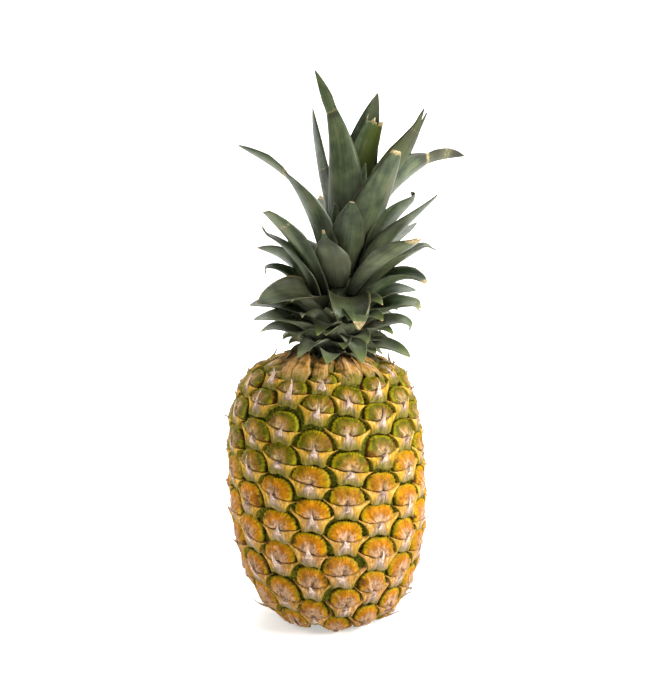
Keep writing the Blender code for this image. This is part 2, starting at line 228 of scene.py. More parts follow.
def eyeFrame(index):
    # an eye's centre and its sideways and upward steps to the next eyes, in (degrees, mm)
    def step(number):
        turn = centres[index + number, 0] - centres[index, 0]
        turn -= 360.0 * np.round(turn / 360.0)
        return np.array([turn, centres[index + number, 1] - centres[index, 1]])

    upward = (step(spiral["column"]) - step(-spiral["column"])) / 2.0
    sideways = (step(spiral["row"]) - step(-spiral["row"])) / 2.0
    return centres[index], sideways - upward / 2.0, upward


def onEye(frameOfEye, p, q, lift):
    # points at p steps sideways and q steps up from an eye's centre
    centre, sideways, upward = frameOfEye
    angle = centre[0] + p * sideways[0] + q * upward[0]
    along = centre[1] + p * sideways[1] + q * upward[1]
    return skinPoints(angle, along, lift)


def fullness(along):
    # how fully an eye stands out: less towards both ends of the skin
    nearest = max(min(along, skinLength - along), 0.0)
    return 1.0 - spiral["endFlatness"] * math.exp(-nearest / spiral["endReach"])


# How far up the skin the gold has come, in millimetres along it
ripening = {"line": 121.0, "lag": 15.0, "lagSide": -22.0, "scatter": 9.0, "blend": 38.0}


def ripeness(angle, along, chance):
    # 1 is golden, 0 is olive green: golden from the bottom up, least far up on the front's left
    facing = math.cos(math.radians(angle - ripening["lagSide"]))
    line = ripening["line"] - ripening["lag"] * facing + ripening["scatter"] * chance
    return float(smooth((line - along) / ripening["blend"] + 0.5))


print("frame and skin law ready")


# What differs from eye to eye, drawn once so that its dome, bract and point agree
eyeChance = {
    "seed": 5,
    "tilt": 0.08,
    "sideTilt": 0.09,
    "twoLobes": 0.45,
    "hanging": 0.14,
    "stub": 0.20,
    "standing": 0.22,
    "armStretch": 0.08,
}


def drawEyes():
    rng = np.random.default_rng(eyeChance["seed"])
    eyes = []
    for index in range(*spiral["kept"]):
        chance = rng.uniform(-1.0, 1.0, 24)
        eye = eyeFrame(index)
        angle, along = eye[0]
        eyes.append({
            "frame": eye,
            "along": along,
            "full": fullness(along),
            "ripe": ripeness(angle, along, chance[0]),
            "seed": (chance[1] + 1.0) / 2.0,
            "tilt": eyeChance["tilt"] * chance[2] + eyeChance["sideTilt"] * math.sin(math.radians(angle)),
            "arms": 1.0 + eyeChance["armStretch"] * chance[3:5],
            "chance": chance[5:],
        })
    return eyes


# The domes: the fused sepals over each eye, with a scalloped upper edge. Places over an eye are
# shares of the way to the next eyes; reliefs, from crest to depth, are in millimetres
dome = {
    "sparseRays": 16,
    "denseRays": 44,
    "rings": (0.0, 0.2, 0.4, 0.58, 0.73, 0.84, 0.915, 0.96, 0.985, 1.0),
    "middle": 0.12,
    "halfWidth": 0.548,
    "top": 0.488,
    "side": 0.06,
    "fullness": 2.6,
    "slit": -0.10,
    "slitCurl": 0.06,
    "under": 0.06,
    "teeth": 26,
    "toothDepth": 0.075,
    "rimWander": (0.02, 0.018),
    "crest": 2.1,
    "brow": 1.15,
    "lips": 1.1,
    "seam": 0.45,
    "deepSeam": 1.3,
    "step": 0.3,
    "tuck": 1.7,
    "ripple": 0.75,
    "lump": 0.34,
    "depth": -2.2,
}


def slitLevel(eye, p):
    # how high the line between dome and bract runs, p steps aside of the eye's middle
    curl = dome["slitCurl"] * (1.0 + 0.8 * eye["chance"][0])
    return dome["slit"] + curl * (p / dome["halfWidth"]) ** 2 + eye["tilt"] * p / dome["halfWidth"]


def domeRim(eye):
    # the rim's reach along each ray from the dome's middle; rays stand closer over the brow
    upper = np.linspace(-0.25, math.pi + 0.25, dome["denseRays"], endpoint=False)
    lower = np.linspace(math.pi + 0.25, 2.0 * math.pi - 0.25, dome["sparseRays"], endpoint=False)
    phi = np.concatenate([upper, lower])
    ray = np.stack([np.cos(phi), np.sin(phi)], -1)
    low, high = np.zeros(len(phi)), np.ones(len(phi))
    for _ in range(22):
        half = (low + high) / 2.0
        p, q = ray[:, 0] * half, dome["middle"] + ray[:, 1] * half
        wide = np.abs(p / dome["halfWidth"]) ** dome["fullness"]
        tall = np.clip((q - dome["side"]) / (dome["top"] - dome["side"]), 0.0, None) ** dome["fullness"]
        sag = np.clip((dome["side"] - q) / 0.9, 0.0, None) ** 1.5
        inside = (wide + tall + sag < 1.0) & (q > slitLevel(eye, p) - dome["under"])
        low, high = np.where(inside, half, low), np.where(inside, high, half)
    chance = eye["chance"]
    beat = 0.5 + 0.5 * np.cos(dome["teeth"] * phi + 6.0 * chance[1] + 1.2 * np.sin(3.0 * phi + chance[2]))
    over = smooth(np.sin(phi) * 2.5 + 0.6)
    broad, fine = dome["rimWander"]
    wander = 1.0 + broad * np.sin(3.0 * phi + 3.0 * chance[3]) + fine * np.sin(5.0 * phi + 3.0 * chance[4])
    return ray, low * (1.0 - dome["toothDepth"] * beat * over) * wander, phi, beat * over


def makeDomes(eyes, material):
    points, faces, places, moods = [], [], [], []
    count = 0
    rings = np.array(dome["rings"])
    for eye in eyes:
        chance = eye["chance"]
        ray, reach, phi, beat = domeRim(eye)
        p = rings[:, None] * (ray[:, 0] * reach)[None, :]
        q = dome["middle"] + rings[:, None] * (ray[:, 1] * reach)[None, :]
        rho = np.repeat(rings[:, None], len(phi), 1)
        above = q - slitLevel(eye, p)
        # highest over the slit and falling to the brow, with two raised lips and a seam between
        level = dome["crest"] + (dome["brow"] - dome["crest"]) * np.clip(above / 0.5, 0.0, 1.0)
        lips = dome["lips"] * np.exp(-((np.abs(p) - 0.16) / 0.11) ** 2 - ((above - 0.1) / 0.12) ** 2)
        seamAt = 0.04 * chance[5] + 0.25 * chance[6] * above
        seamDepth = dome["deepSeam" if chance[7] > 1.0 - 2.0 * eyeChance["twoLobes"] else "seam"]
        seam = -seamDepth * np.exp(-((p - seamAt) / 0.04) ** 2) * smooth(1.1 - above / 0.42)
        step = dome["step"] * chance[8] * np.tanh((p - seamAt) / 0.05) * smooth(1.2 - rho)
        tuck = -dome["tuck"] * smooth(0.7 - above / 0.05)
        edge = np.sqrt(np.clip(1.0 - rho**9.0, 0.0, 1.0))
        ripple = -dome["ripple"] * beat[None, :] * smooth((rho - 0.45) / 0.45)
        lump = np.sin(7.0 * p / 0.5 + 3.0 * chance[9]) * np.sin(5.0 * q / 0.5 + 3.0 * chance[10])
        top = (level + lips + seam + step + ripple + dome["lump"] * lump + tuck) * eye["full"]
        lift = dome["depth"] + (top - dome["depth"]) * edge
        grid = onEye(eye["frame"], p, q, lift)
        place = np.stack([p, above, rho], -1)
        # the first ring is a single point
        for full, kept in ((grid, points), (place, places)):
            flat = full.reshape(-1, 3)
            kept.append(np.concatenate([flat[:1], flat[len(phi):]]))
        mood = [eye["ripe"], eye["seed"], eye["along"] / skinLength]
        moods.append(np.repeat([mood], len(points[-1]), 0))
        rays = len(phi)
        faces += [(count, count + 1 + (k + 1) % rays, count + 1 + k) for k in range(rays)]
        faces += gridFaces(len(rings) - 1, rays, count + 1, closed=True)
        count += len(points[-1])
    piece = addPiece("eye_domes", np.concatenate(points), faces, material,
                     {"eyePlace": np.concatenate(places), "eyeMood": np.concatenate(moods)})
    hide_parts("fruit")


# The bracts: one papery star under each eye, its two arms lying between the domes, with a
# lower skirt of green skin round its foot. Steps are shares of the way from eye to eye.
bract = {
    "across": 35,
    "down": 9,
    "shares": (0.0, 0.2, 0.4, 0.55, 0.68, 0.8, 0.9, 1.0),
    "topP": (0.0, 0.11, 0.24, 0.34, 0.43, 0.52, 0.60, 0.69),
    "topRise": (-0.005, -0.02, -0.02, -0.01, 0.0, 0.01, 0.02, 0.05),
    "starP": (0.0, 0.15, 0.275, 0.33, 0.355, 0.42, 0.53, 0.69),
    "starQ": (-0.49, -0.50, -0.51, -0.49, -0.35, -0.205, -0.095, 0.0),
    "footP": (0.0, 0.17, 0.31, 0.39, 0.43, 0.465, 0.54, 0.69),
    "footQ": (-0.515, -0.525, -0.555, -0.59, -0.48, -0.30, -0.165, -0.01),
    "crest": 2.3,
    "armCrest": 1.45,
    "edge": 0.95,
    "skirt": 0.25,
    "skirtFoot": -1.2,
    "keel": 0.55,
    "fold": 0.16,
    "tipDrop": 1.1,
    "depth": -2.2,
}


def makeBracts(eyes, material):
    points, faces, places, moods = [], [], [], []
    count = 0
    share = np.linspace(-1.0, 1.0, bract["across"])
    size, sign = np.abs(share), np.sign(share)
    # rows from the upper edge, 0, to the star's foot, 1, and down the skirt, with turned-in rims
    down = np.concatenate([[-0.02], np.linspace(0.0, 1.0, bract["down"]) ** 1.15, [1.04, 1.25, 1.5, 1.52]])
    inner = np.clip(down, 0.0, 1.0)[:, None]
    outer = np.clip((down - 1.0) / 0.5, 0.0, 1.0)[:, None]
    for eye in eyes:
        chance = eye["chance"]
        stretch = np.where(share < 0.0, eye["arms"][0], eye["arms"][1])
        topP = sign * np.interp(size, bract["shares"], bract["topP"]) * stretch
        topQ = slitLevel(eye, topP) + np.interp(size, bract["shares"], bract["topRise"])
        footP = sign * np.interp(size, bract["shares"], bract["footP"]) * stretch
        starP = sign * np.interp(size, bract["shares"], bract["starP"]) * stretch
        starQ = np.interp(size, bract["shares"], bract["starQ"]) + eye["tilt"] * starP * size
        footQ = np.interp(size, bract["shares"], bract["footQ"]) + eye["tilt"] * footP * size**2
        # papery edges wander a little
        topQ = topQ + 0.012 * np.sin(11.0 * share + 5.0 * chance[11]) * (1.0 - size)
        starQ = starQ + 0.030 * np.sin(9.0 * share + 5.0 * chance[12]) * (1.0 - size**2)
        starQ = np.minimum(starQ, topQ - 0.002)
        footQ = np.minimum(footQ, starQ - 0.002)
        p = topP + (starP - topP) * inner + (footP - starP) * outer
        q = topQ + (starQ - topQ) * inner + (footQ - starQ) * outer
        crest = bract["armCrest"] + (bract["crest"] - bract["armCrest"]) * (1.0 - size**1.3)
        fall = 1.0 - 0.35 * inner - 0.65 * inner**2.6
        lift = bract["edge"] + (crest[None, :] - bract["edge"]) * fall
        skirt = bract["skirt"] + (bract["skirtFoot"] - bract["skirt"]) * outer**1.5
        lift = np.where(down[:, None] > 1.0, skirt, lift)
        keel = (bract["keel"] + 0.3 * chance[13]) * np.exp(-(p / 0.06) ** 2) * (1.0 - inner * 0.8)
        fold = bract["fold"] * np.sin(30.0 * p + 6.0 * chance[14]) * (1.0 - size[None, :] ** 2)
        lift = (lift + keel + fold) * eye["full"]
        rimmed = ((down < 0.0) | (down > 1.0))[:, None]
        tip = smooth((size - 0.9) / 0.1)[None, :]
        lift = np.where(rimmed, bract["depth"], lift - tip * bract["tipDrop"])
        grid = onEye(eye["frame"], p, q, lift)
        points.append(grid.reshape(-1, 3))
        downward = np.repeat(down[:, None], len(share), 1)
        places.append(np.stack([p, q, downward], -1).reshape(-1, 3))
        mood = [eye["ripe"], eye["seed"], eye["along"] / skinLength]
        moods.append(np.repeat([mood], grid.shape[0] * grid.shape[1], 0))
        faces += gridFaces(len(down), len(share), count)
        count += grid.shape[0] * grid.shape[1]
    addPiece("eye_bracts", np.concatenate(points), faces, material,
             {"eyePlace": np.concatenate(places), "eyeMood": np.concatenate(moods)})


# The bracts' points: a dry blade that rises from each bract's keel and lies over the dome
point = {
    "stations": 13,
    "sides": 8,
    "rootWidth": 3.8,
    "tipWidth": 0.3,
    "thickness": 0.9,
    "length": (3.2, 8.6),
    "stubLength": 1.4,
    "standing": 5.5,
    "lean": 0.35,
    "curl": 0.3,
    "lie": 3.2,
    # from root to tip: places and shares of the root's width
    "taper": ((0.0, 0.25, 0.45, 0.7, 1.0), (1.25, 1.0, 0.6, 0.3, 0.0)),
}


def bezier(knots, share):
    # points of a cubic curve
    a, b, c, d = [np.asarray(k, float) for k in knots]
    s = share[:, None]
    return (1 - s) ** 3 * a + 3 * (1 - s) ** 2 * s * b + 3 * (1 - s) * s**2 * c + s**3 * d


def makePoints(eyes, material):
    points, faces, places = [], [], []
    count = 0
    share = np.linspace(0.0, 1.0, point["stations"])
    around = np.linspace(0.0, 2.0 * math.pi, point["sides"], endpoint=False)
    for eye in eyes:
        chance = eye["chance"]
        start = float(slitLevel(eye, 0.0))
        origin = onEye(eye["frame"], 0.0, start, 0.0)
        outward = onEye(eye["frame"], 0.0, start, 1.0) - origin
        upward = onEye(eye["frame"], 0.0, start + 0.1, 0.0) - origin
        upward /= np.linalg.norm(upward)
        outward /= np.linalg.norm(outward)
        sideways = np.cross(upward, outward)
        lowest, highest = point["length"]
        length = lowest + (highest - lowest) * (chance[15] + 1.0) / 2.0
        kind = (chance[16] + 1.0) / 2.0
        lean = length * point["lean"] * chance[17]
        lie = point["lie"] + 1.0 * chance[18] + 2.8 * smooth(chance[8])
        # knots in millimetres: sideways, up the skin and out of it
        if kind < eyeChance["hanging"]:
            knots = ((0, -3.6, 0.6), (0, 0.6, 4.6), (lean * 0.5, 1.2, 5.8), (lean, -0.75 * length, 3.2))
        elif kind < eyeChance["hanging"] + eyeChance["stub"]:
            knots = ((0, -4.4, 0.5), (0, -2.4, 3.2), (0, -1.0, 3.1), (lean * 0.3, point["stubLength"], 2.9))
        elif kind > 1.0 - eyeChance["standing"]:
            out = 3.4 + point["standing"] * (0.5 + 0.5 * chance[8])
            knots = ((0, -4.4, 0.5), (0, -2.0, 3.2), (lean * 0.4, 0.4, 3.6),
                     (lean * 1.6, 2.0 + 3.0 * chance[10], out))
        else:
            curl = length * point["curl"] * chance[1]
            knots = ((0, -4.4, 0.5), (0, -1.5, 3.5), (lean - curl, 0.5 * length, lie + 0.3),
                     (lean, length, lie - 0.4 + 5.0 * max(chance[10], 0.0)))
        line = bezier(knots, share) * [1.0, 1.0, eye["full"]]
        along = np.gradient(line, axis=0)
        along /= np.linalg.norm(along, axis=1)[:, None]
        across = np.cross(along, [0.0, 0.0, 1.0])
        across /= np.linalg.norm(across, axis=1)[:, None]
        over = np.cross(across, along)
        # broad at its foot in the keel, narrowing past the slit and drawn out to a thread
        taper = np.interp(share, *point["taper"])
        widest = point["rootWidth"] * (1.0 + 0.3 * chance[5])
        width = point["tipWidth"] + (widest - point["tipWidth"]) * taper
        thick = 0.2 + (point["thickness"] - 0.2) * (1.0 - share) ** 0.7
        turns = around[None, :]
        offset = across[:, None, :] * (np.cos(turns) * width[:, None] / 2.0)[..., None]
        offset = offset + over[:, None, :] * (np.sin(turns) * thick[:, None] / 2.0)[..., None]
        grid = line[:, None, :] + offset
        world = origin + grid[..., :1] * sideways + grid[..., 1:2] * upward + grid[..., 2:] * outward
        world = world.reshape(-1, 3)
        world[:, 2] = aboveFloor(world[:, 2])
        points.append(world)
        place = np.broadcast_arrays(np.cos(turns), share[:, None], np.full((1, 1), eye["seed"]))
        places.append(np.stack(place, -1).reshape(-1, 3))
        faces += gridFaces(len(share), len(around), count, closed=True)
        faces.append(tuple(range(count, count + len(around))))
        faces.append(tuple(range(count + len(world) - len(around), count + len(world)))[::-1])
        count += len(world)
    addPiece("bract_points", np.concatenate(points), faces, material,
             {"pointPlace": np.concatenate(places)})


# The skin between the eyes, its dark green partly painted shade of the hollows, closed at the base round
# the recess of the stalk
ground = {"around": 144, "up": 96, "lift": -1.6, "liftReach": 5.0, "baseRise": 0.2, "gap": 0.3}


def makeGround(material):
    along = np.linspace(0.0, topAlong[-1], ground["up"])
    angle = np.linspace(0.0, 360.0, ground["around"], endpoint=False)
    ends = np.maximum(np.minimum(along, skinLength - along), 0.0)
    lift = ground["lift"] * smooth(ends / ground["liftReach"])
    level = np.zeros((len(along), len(angle)))
    grid = skinPoints(level + angle[None, :], level + along[:, None], level + lift[:, None])
    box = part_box("fruit_stalk")
    inner = (box[1][0] - box[0][0]) / 2.0 / mm + ground["gap"]
    rim = grid[0] * [1.0, 1.0, 0.0] + [0.0, 0.0, ground["baseRise"]]
    mouth = rim * [inner / body["baseRadius"], inner / body["baseRadius"], 1.0]
    roof = mouth + [0.0, 0.0, box[1][2] / mm]
    grid = np.concatenate([[roof, mouth, rim], grid[1:]])
    faces = gridFaces(len(grid), len(angle), closed=True) + [tuple(range(len(angle)))]
    addPiece("skin_ground", grid.reshape(-1, 3), faces, material)


# The stalk's cut end, flush with the base: a dished face of torn fibres
stalk = {"around": 64, "rings": 12, "dish": 0.9, "rise": 0.15, "bevel": 0.7, "tear": 0.5, "seed": 21}


def makeStalk(material):
    rng = np.random.default_rng(stalk["seed"])
    low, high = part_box("fruit_stalk")
    radius, length = (high[0] - low[0]) / 2.0 / mm, high[2] / mm
    turn = np.linspace(0.0, 2.0 * math.pi, stalk["around"], endpoint=False)
    share = np.linspace(0.0, 1.0, stalk["rings"])[1:]
    reach = radius * np.concatenate([share, [1.0, 1.0]])
    reach[-3] -= stalk["bevel"] * 0.5
    face = stalk["dish"] * (1.0 - share**2) + stalk["rise"]
    rise = np.concatenate([face, [face[-1] + stalk["bevel"], length]])
    torn = stalk["tear"] * rng.uniform(0.0, 1.0, (len(share) - 1, len(turn)))
    height = np.repeat(rise[:, None], len(turn), 1)
    height[: len(share) - 1] += torn
    grid = np.stack([reach[:, None] * np.sin(turn), -reach[:, None] * np.cos(turn), height], -1)
    around = len(turn)
    faces = gridFaces(len(grid), around, closed=True)
    faces += [tuple(range(around)), tuple(range((len(grid) - 1) * around, len(grid) * around))]
    piece = addPiece("stalk_cut_end", grid.reshape(-1, 3), faces, material)
    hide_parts("fruit_stalk")


def meshValues(add, attribute):
    # the three values that a mesh carries under this name
    found = add("Attribute", output="Vector", attribute_name=attribute)
    return add("SeparateXYZ", (found,)).node.outputs[:3]


def streaks(add, parts, factors, detail=4.0):
    # noise drawn out along some of the parts, each times its factor
    place = add("VectorMath", (add("CombineXYZ", parts), factors), operation="MULTIPLY")
    return add("TexNoise", {"Vector": place, "Scale": 1.0, "Detail": detail, "Roughness": 0.6})


def coat(add, colour, layers, tones=()):
    # colours laid over the first in turn, each through its mask, and then darkened and lightened
    # with each value: by one factor where it is low and by the other where it is high
    for mask, top in layers:
        colour = add("Mix", {0: mask, 6: colour, 7: top}, 2, data_type="RGBA")
    for value, low, high in tones:
        tone = add("MapRange", (value, 0.3, 0.7, low, high))
        colour = add("VectorMath", (colour, tone), operation="MULTIPLY")
    return colour


def dress(add, shader, colour, roughness, height, strength, distance):
    # colour, roughness and bump (its depth in mm) joined to the shader
    bump = add("Bump", {"Strength": strength, "Distance": distance * mm, "Height": height})
    for name, socket in (("Base Color", colour), ("Roughness", roughness), ("Normal", bump)):
        shader.id_data.links.new(socket, shader.inputs[name])


rindLook = {
    # along a dome from its middle to its brow; the last, near-black stops, where the edge dips between the
    # eyes, are painted shade
    "ripe": [(0.0, "#c48444"), (0.3, "#c87e18"), (0.52, "#da8800"), (0.74, "#e09800"),
             (0.86, "#dcac0a"), (0.92, "#b8a018"), (0.958, "#6a5c10"), (1.0, "#2c2806")],
    "green": [(0.0, "#b88a4c"), (0.3, "#9e7c2a"), (0.52, "#7c6e12"), (0.72, "#6c6a08"),
              (0.85, "#a49a0e"), (0.92, "#aea01a"), (0.962, "#4c4e0a"), (1.0, "#222408")],
    "greenDust": "#c6a878",
    "ripeDust": "#e4b892",
    "crease": "#7a4e24",
    "hair": "#d8b894",
    "bruise": "#70431a",
    # the slit's colour is a painted shadow in the crevice under the bract
    "slit": "#5a3416",
    "glow": 0.06,  # the share of light that goes in and comes out again, and how far off in mm
    "glowReach": 1.5,
}


def ripeRind():
    # ripe pineapple rind, grown: waxy golden domes with a scalloped olive brow and a dusty pink middle,
    # with painted shade on the brow's edge and a painted shadow along the slit
    material, add, shader = newMaterial("ripe_rind_domes", 0.45, 0.06)
    aside, above, rho = meshValues(add, "eyePlace")
    ripe, seed, high = meshValues(add, "eyeMood")
    where = add("TexCoord", output="Object")
    blotch = add("TexNoise", {"Vector": where, "Scale": 1.0 / (6.0 * mm), "Detail": 3.0, "Roughness": 0.5})
    mottle = add("TexNoise", {"Vector": where, "Scale": 1.0 / (1.3 * mm), "Detail": 4.0, "Roughness": 0.6})
    pad = add("TexNoise", {"Vector": where, "Scale": 1.0 / (2.6 * mm), "Detail": 2.0, "Roughness": 0.5})
    # streaks fan out from the slit, about 1 mm apart at the brow, and wander
    fan = add("Math", (aside, add("Math", (above, 0.12), operation="ADD")), operation="ARCTAN2")
    fan = add("Math", (pad, 0.5, fan), operation="MULTIPLY_ADD")
    streak = streaks(add, (fan, rho, seed), (6.5, 1.4, 37.0))
    shake = add("Math", (streak, 0.5), operation="SUBTRACT")
    shake = add("Math", (shake, 0.3, rho), operation="MULTIPLY_ADD")
    greenTone, ripeTone = [add("ValToRGB", (shake,), stops=rindLook[key]) for key in ("green", "ripe")]
    ripeShare = add("Math", (blotch, 1.3, -0.65), operation="MULTIPLY_ADD")
    ripeShare = add("Math", (ripe, ripeShare), operation="ADD", use_clamp=True)
    # a dusty pink-tan middle over the slit, creased and with pale hairs, more of it low down
    oval = add("VectorMath", (add("CombineXYZ", (aside, above)), (3.5, 3.8, 0.0)), operation="MULTIPLY")
    middle = add("VectorMath", (oval,), "Value", operation="LENGTH")
    middle = add("Math", (mottle, -0.7, middle), operation="MULTIPLY_ADD")
    middle = add("Math", (streak, -0.9, middle), operation="MULTIPLY_ADD")
    lowDown = add("MapRange", (high, 0.55, 0.22, 0.0, 1.0))
    middle = add("Math", (lowDown, -0.5, middle), operation="MULTIPLY_ADD")
    dust = coat(add, rindLook["greenDust"], [(ripeShare, rindLook["ripeDust"])])
    dustHere = add("MapRange", (middle, 0.22, -0.3, 0.0, 0.8))
    crease = add("MapRange", (pad, 0.45, 0.34, 0.0, 0.9))
    crease = add("Math", (crease, dustHere), operation="MULTIPLY")
    hair = add("MapRange", (streak, 0.54, 0.66, 0.0, 0.7))
    hair = add("Math", (hair, add("MapRange", (middle, 0.7, 0.0, 0.0, 1.0))), operation="MULTIPLY")
    # brown bruises in the corners, and a painted shadow along the slit where the dome tucks under the bract
    corner = add("Math", (aside,), operation="ABSOLUTE")
    corner = add("MapRange", (corner, 0.12, 0.42, 0.15, 1.0))
    bruise = add("MapRange", (blotch, 0.5, 0.62, 0.0, 0.9))
    bruise = add("Math", (bruise, corner), operation="MULTIPLY")
    slit = add("Math", (pad, -0.07, above), operation="MULTIPLY_ADD")
    slit = add("MapRange", (slit, 0.02, -0.02, 0.0, 0.92))
    slit = add("Math", (slit, add("MapRange", (streak, 0.4, 0.62, 1.0, 0.35))), operation="MULTIPLY")
    layers = [(ripeShare, ripeTone), (dustHere, dust), (crease, rindLook["crease"]),
              (hair, rindLook["hair"]), (bruise, rindLook["bruise"]), (slit, rindLook["slit"])]
    tones = [(streak, 0.62, 1.06), (blotch, 0.7, 1.08), (pad, 0.76, 1.08), (lowDown, 1.0, 0.76),
             (mottle, 0.86, 1.12)]
    rough = add("MapRange", (mottle, 0.3, 0.7, 0.34, 0.62))
    height = add("Math", (streak, 0.8, mottle), operation="MULTIPLY_ADD")
    dress(add, shader, coat(add, greenTone, layers, tones), rough, height, 0.6, 0.5)
    shader.inputs["Subsurface Weight"].default_value = rindLook["glow"]
    shader.inputs["Subsurface Scale"].default_value = rindLook["glowReach"] * mm
    return material


bractLook = {
    "gold": [(0.34, "#a07c18"), (0.46, "#ca9832"), (0.58, "#cc9e50"), (0.7, "#b4845c")],
    "tan": [(0.34, "#9c7230"), (0.46, "#ba8a48"), (0.58, "#c08a56"), (0.7, "#a46a46")],
    "arm": "#e6b23a",
    "keel": "#a28e7c",
    "fibre": "#d6ba94",
    "crest": "#c2a898",
    "foot": "#746c1a",
    "skirt": [(0.36, "#4c4e08"), (0.48, "#787410"), (0.6, "#a89a20")],
    # painted shade at the skirt's foot, deep between the eyes
    "groove": "#2a2c08",
}


def dryBract():
    # dried bract, grown: matt and papery, golden to tan arms, grey-lilac keel, green fuzzy foot, and
    # painted shade, nearly black, where its skirt dips between the eyes
    material, add, shader = newMaterial("dry_papery_bract", 0.75, 0.05)
    aside, _, down = meshValues(add, "eyePlace")
    ripe, seed, high = meshValues(add, "eyeMood")
    where = add("TexCoord", output="Object")
    mottle = add("TexNoise", {"Vector": where, "Scale": 1.0 / (1.5 * mm), "Detail": 4.0, "Roughness": 0.6})
    blotch = add("TexNoise", {"Vector": where, "Scale": 1.0 / (7.0 * mm), "Detail": 3.0, "Roughness": 0.5})
    # fibres run down the scale, about 1 mm apart
    fibre = streaks(add, (aside, down, seed), (17.0, 2.0, 50.0), 3.0)
    gold, tan = [add("ValToRGB", (blotch,), stops=bractLook[key]) for key in ("gold", "tan")]
    lowDown = add("MapRange", (high, 0.62, 0.3, 0.0, 1.0))
    apart = add("Math", (aside,), operation="ABSOLUTE")
    # the arms of the less ripe ones are the brightest gold
    arm = add("Math", (mottle, 0.2, apart), operation="MULTIPLY_ADD")
    arm = add("MapRange", (arm, 0.25, 0.44, 0.0, 0.85))
    arm = add("Math", (arm, add("MapRange", (lowDown, 0.0, 1.0, 0.8, 0.15))), operation="MULTIPLY")
    # the keel: a grey-lilac wedge that widens towards the foot
    keel = add("Math", (down, 0.24, 0.09), operation="MULTIPLY_ADD")
    keel = add("Math", (keel, apart), operation="SUBTRACT")
    keel = add("Math", (mottle, 0.16, keel), operation="MULTIPLY_ADD")
    keel = add("MapRange", (keel, 0.05, 0.16, 0.0, 0.8))
    pale = add("MapRange", (fibre, 0.53, 0.66, 0.0, 0.55))
    pale = add("Math", (pale, add("MapRange", (down, 0.75, 0.1, 0.2, 1.0))), operation="MULTIPLY")
    # the keel is palest where the point grows out of it
    crest = add("Math", (down, -0.16, apart), operation="MULTIPLY_ADD")
    crest = add("MapRange", (crest, 0.13, 0.03, 0.0, 0.85))
    crest = add("Math", (crest, add("MapRange", (down, 0.6, 0.15, 0.0, 1.0))), operation="MULTIPLY")
    # green fuzz at the foot and along the sides, less where the fruit is riper
    foot = add("Math", (mottle, 0.7, down), operation="MULTIPLY_ADD")
    foot = add("Math", (apart, 0.25, foot), operation="MULTIPLY_ADD")
    foot = add("Math", (ripe, -0.28, foot), operation="MULTIPLY_ADD")
    foot = add("MapRange", (foot, 0.62, 1.15, 0.0, 0.85))
    # the skirt round the star: fuzzy green skin from yellowish to olive, with painted shade, nearly black,
    # at its foot between the eyes
    fuzz = add("Math", (blotch, 0.4), operation="MULTIPLY")
    fuzz = add("Math", (mottle, 0.6, fuzz), operation="MULTIPLY_ADD")
    fuzz = add("ValToRGB", (fuzz,), stops=bractLook["skirt"])
    skirt = add("MapRange", (down, 1.0, 1.05, 0.0, 1.0))
    groove = add("MapRange", (down, 1.22, 1.5, 0.0, 0.9))
    layers = [(lowDown, tan), (arm, bractLook["arm"]), (keel, bractLook["keel"]),
              (pale, bractLook["fibre"]), (crest, bractLook["crest"]), (foot, bractLook["foot"]),
              (skirt, fuzz), (groove, bractLook["groove"])]
    colour = coat(add, gold, layers, [(fibre, 0.44, 1.1), (mottle, 0.8, 1.16)])
    rough = add("MapRange", (fibre, 0.3, 0.7, 0.6, 0.9))
    height = add("Math", (mottle, 0.6, fibre), operation="MULTIPLY_ADD")
    dress(add, shader, colour, rough, height, 0.7, 0.6)
    return material


pointLook = {
    "chalk": [(0.32, "#9c7a60"), (0.5, "#c2a692"), (0.68, "#e0d0c4")],
    "root": "#9a8066",
    "tip": "#6e4630",
}


def dryPoint():
    # dried bract point, grown: chalky pale blade with a lilac cast, browner to its tip
    material, add, shader = newMaterial("chalky_bract_point", 0.7, 0.2)
    side, share, seed = meshValues(add, "pointPlace")
    where = add("TexCoord", output="Object")
    mottle = add("TexNoise", {"Vector": where, "Scale": 1.0 / (1.2 * mm), "Detail": 3.0, "Roughness": 0.6})
    fibre = streaks(add, (side, share, seed), (3.0, 1.5, 40.0), 3.0)
    chalk = add("ValToRGB", (mottle,), stops=pointLook["chalk"])
    root = add("MapRange", (share, 0.28, 0.0, 0.0, 0.8))
    tip = add("MapRange", (add("Math", (share, seed), operation="MULTIPLY"), 0.3, 0.75, 0.0, 0.85))
    layers = [(root, pointLook["root"]), (tip, pointLook["tip"])]
    rough = add("MapRange", (mottle, 0.3, 0.7, 0.6, 0.85))
    dress(add, shader, coat(add, chalk, layers, [(fibre, 0.78, 1.15)]), rough, fibre, 0.6, 0.3)
    return material


groundLook = {
    # the green ramp's darkness is partly painted shade of the hollows between the eyes
    "green": [(0.32, "#282a08"), (0.5, "#4a4e0c"), (0.68, "#7a761a")],
    "brown": [(0.32, "#2e2210"), (0.5, "#57401f"), (0.68, "#856a3c")],
    "greenAbove": 14.0,  # heights in mm between which the green gives way to the brown
    "brownBelow": 3.0,
}


def greenGround():
    # skin between the eyes, grown: dark green fuzz, its darkness partly painted shade of the hollows, brown
    # towards the base
    material, add, shader = newMaterial("green_skin_and_painted_shade", 0.75, 0.06)
    where = add("TexCoord", output="Object")
    height = add("SeparateXYZ", (where,), 2)
    mottle = add("TexNoise", {"Vector": where, "Scale": 1.0 / (1.5 * mm), "Detail": 4.0, "Roughness": 0.6})
    green, brown = [add("ValToRGB", (mottle,), stops=groundLook[key]) for key in ("green", "brown")]
    base = (groundLook["greenAbove"] * mm, groundLook["brownBelow"] * mm)
    colour = coat(add, green, [(add("MapRange", (height, *base, 0.0, 1.0)), brown)])
    dress(add, shader, colour, add("MapRange", (mottle, 0.3, 0.7, 0.55, 0.85)), mottle, 0.7, 0.6)
    return material


stalkLook = {
    "pith": [(0.34, "#8d6a3c"), (0.5, "#b39158"), (0.66, "#cdb583")],
    "ring": "#5b3f20",
    "ringFrom": 9.5,  # mm from the middle
    "ringTo": 12.0,
}


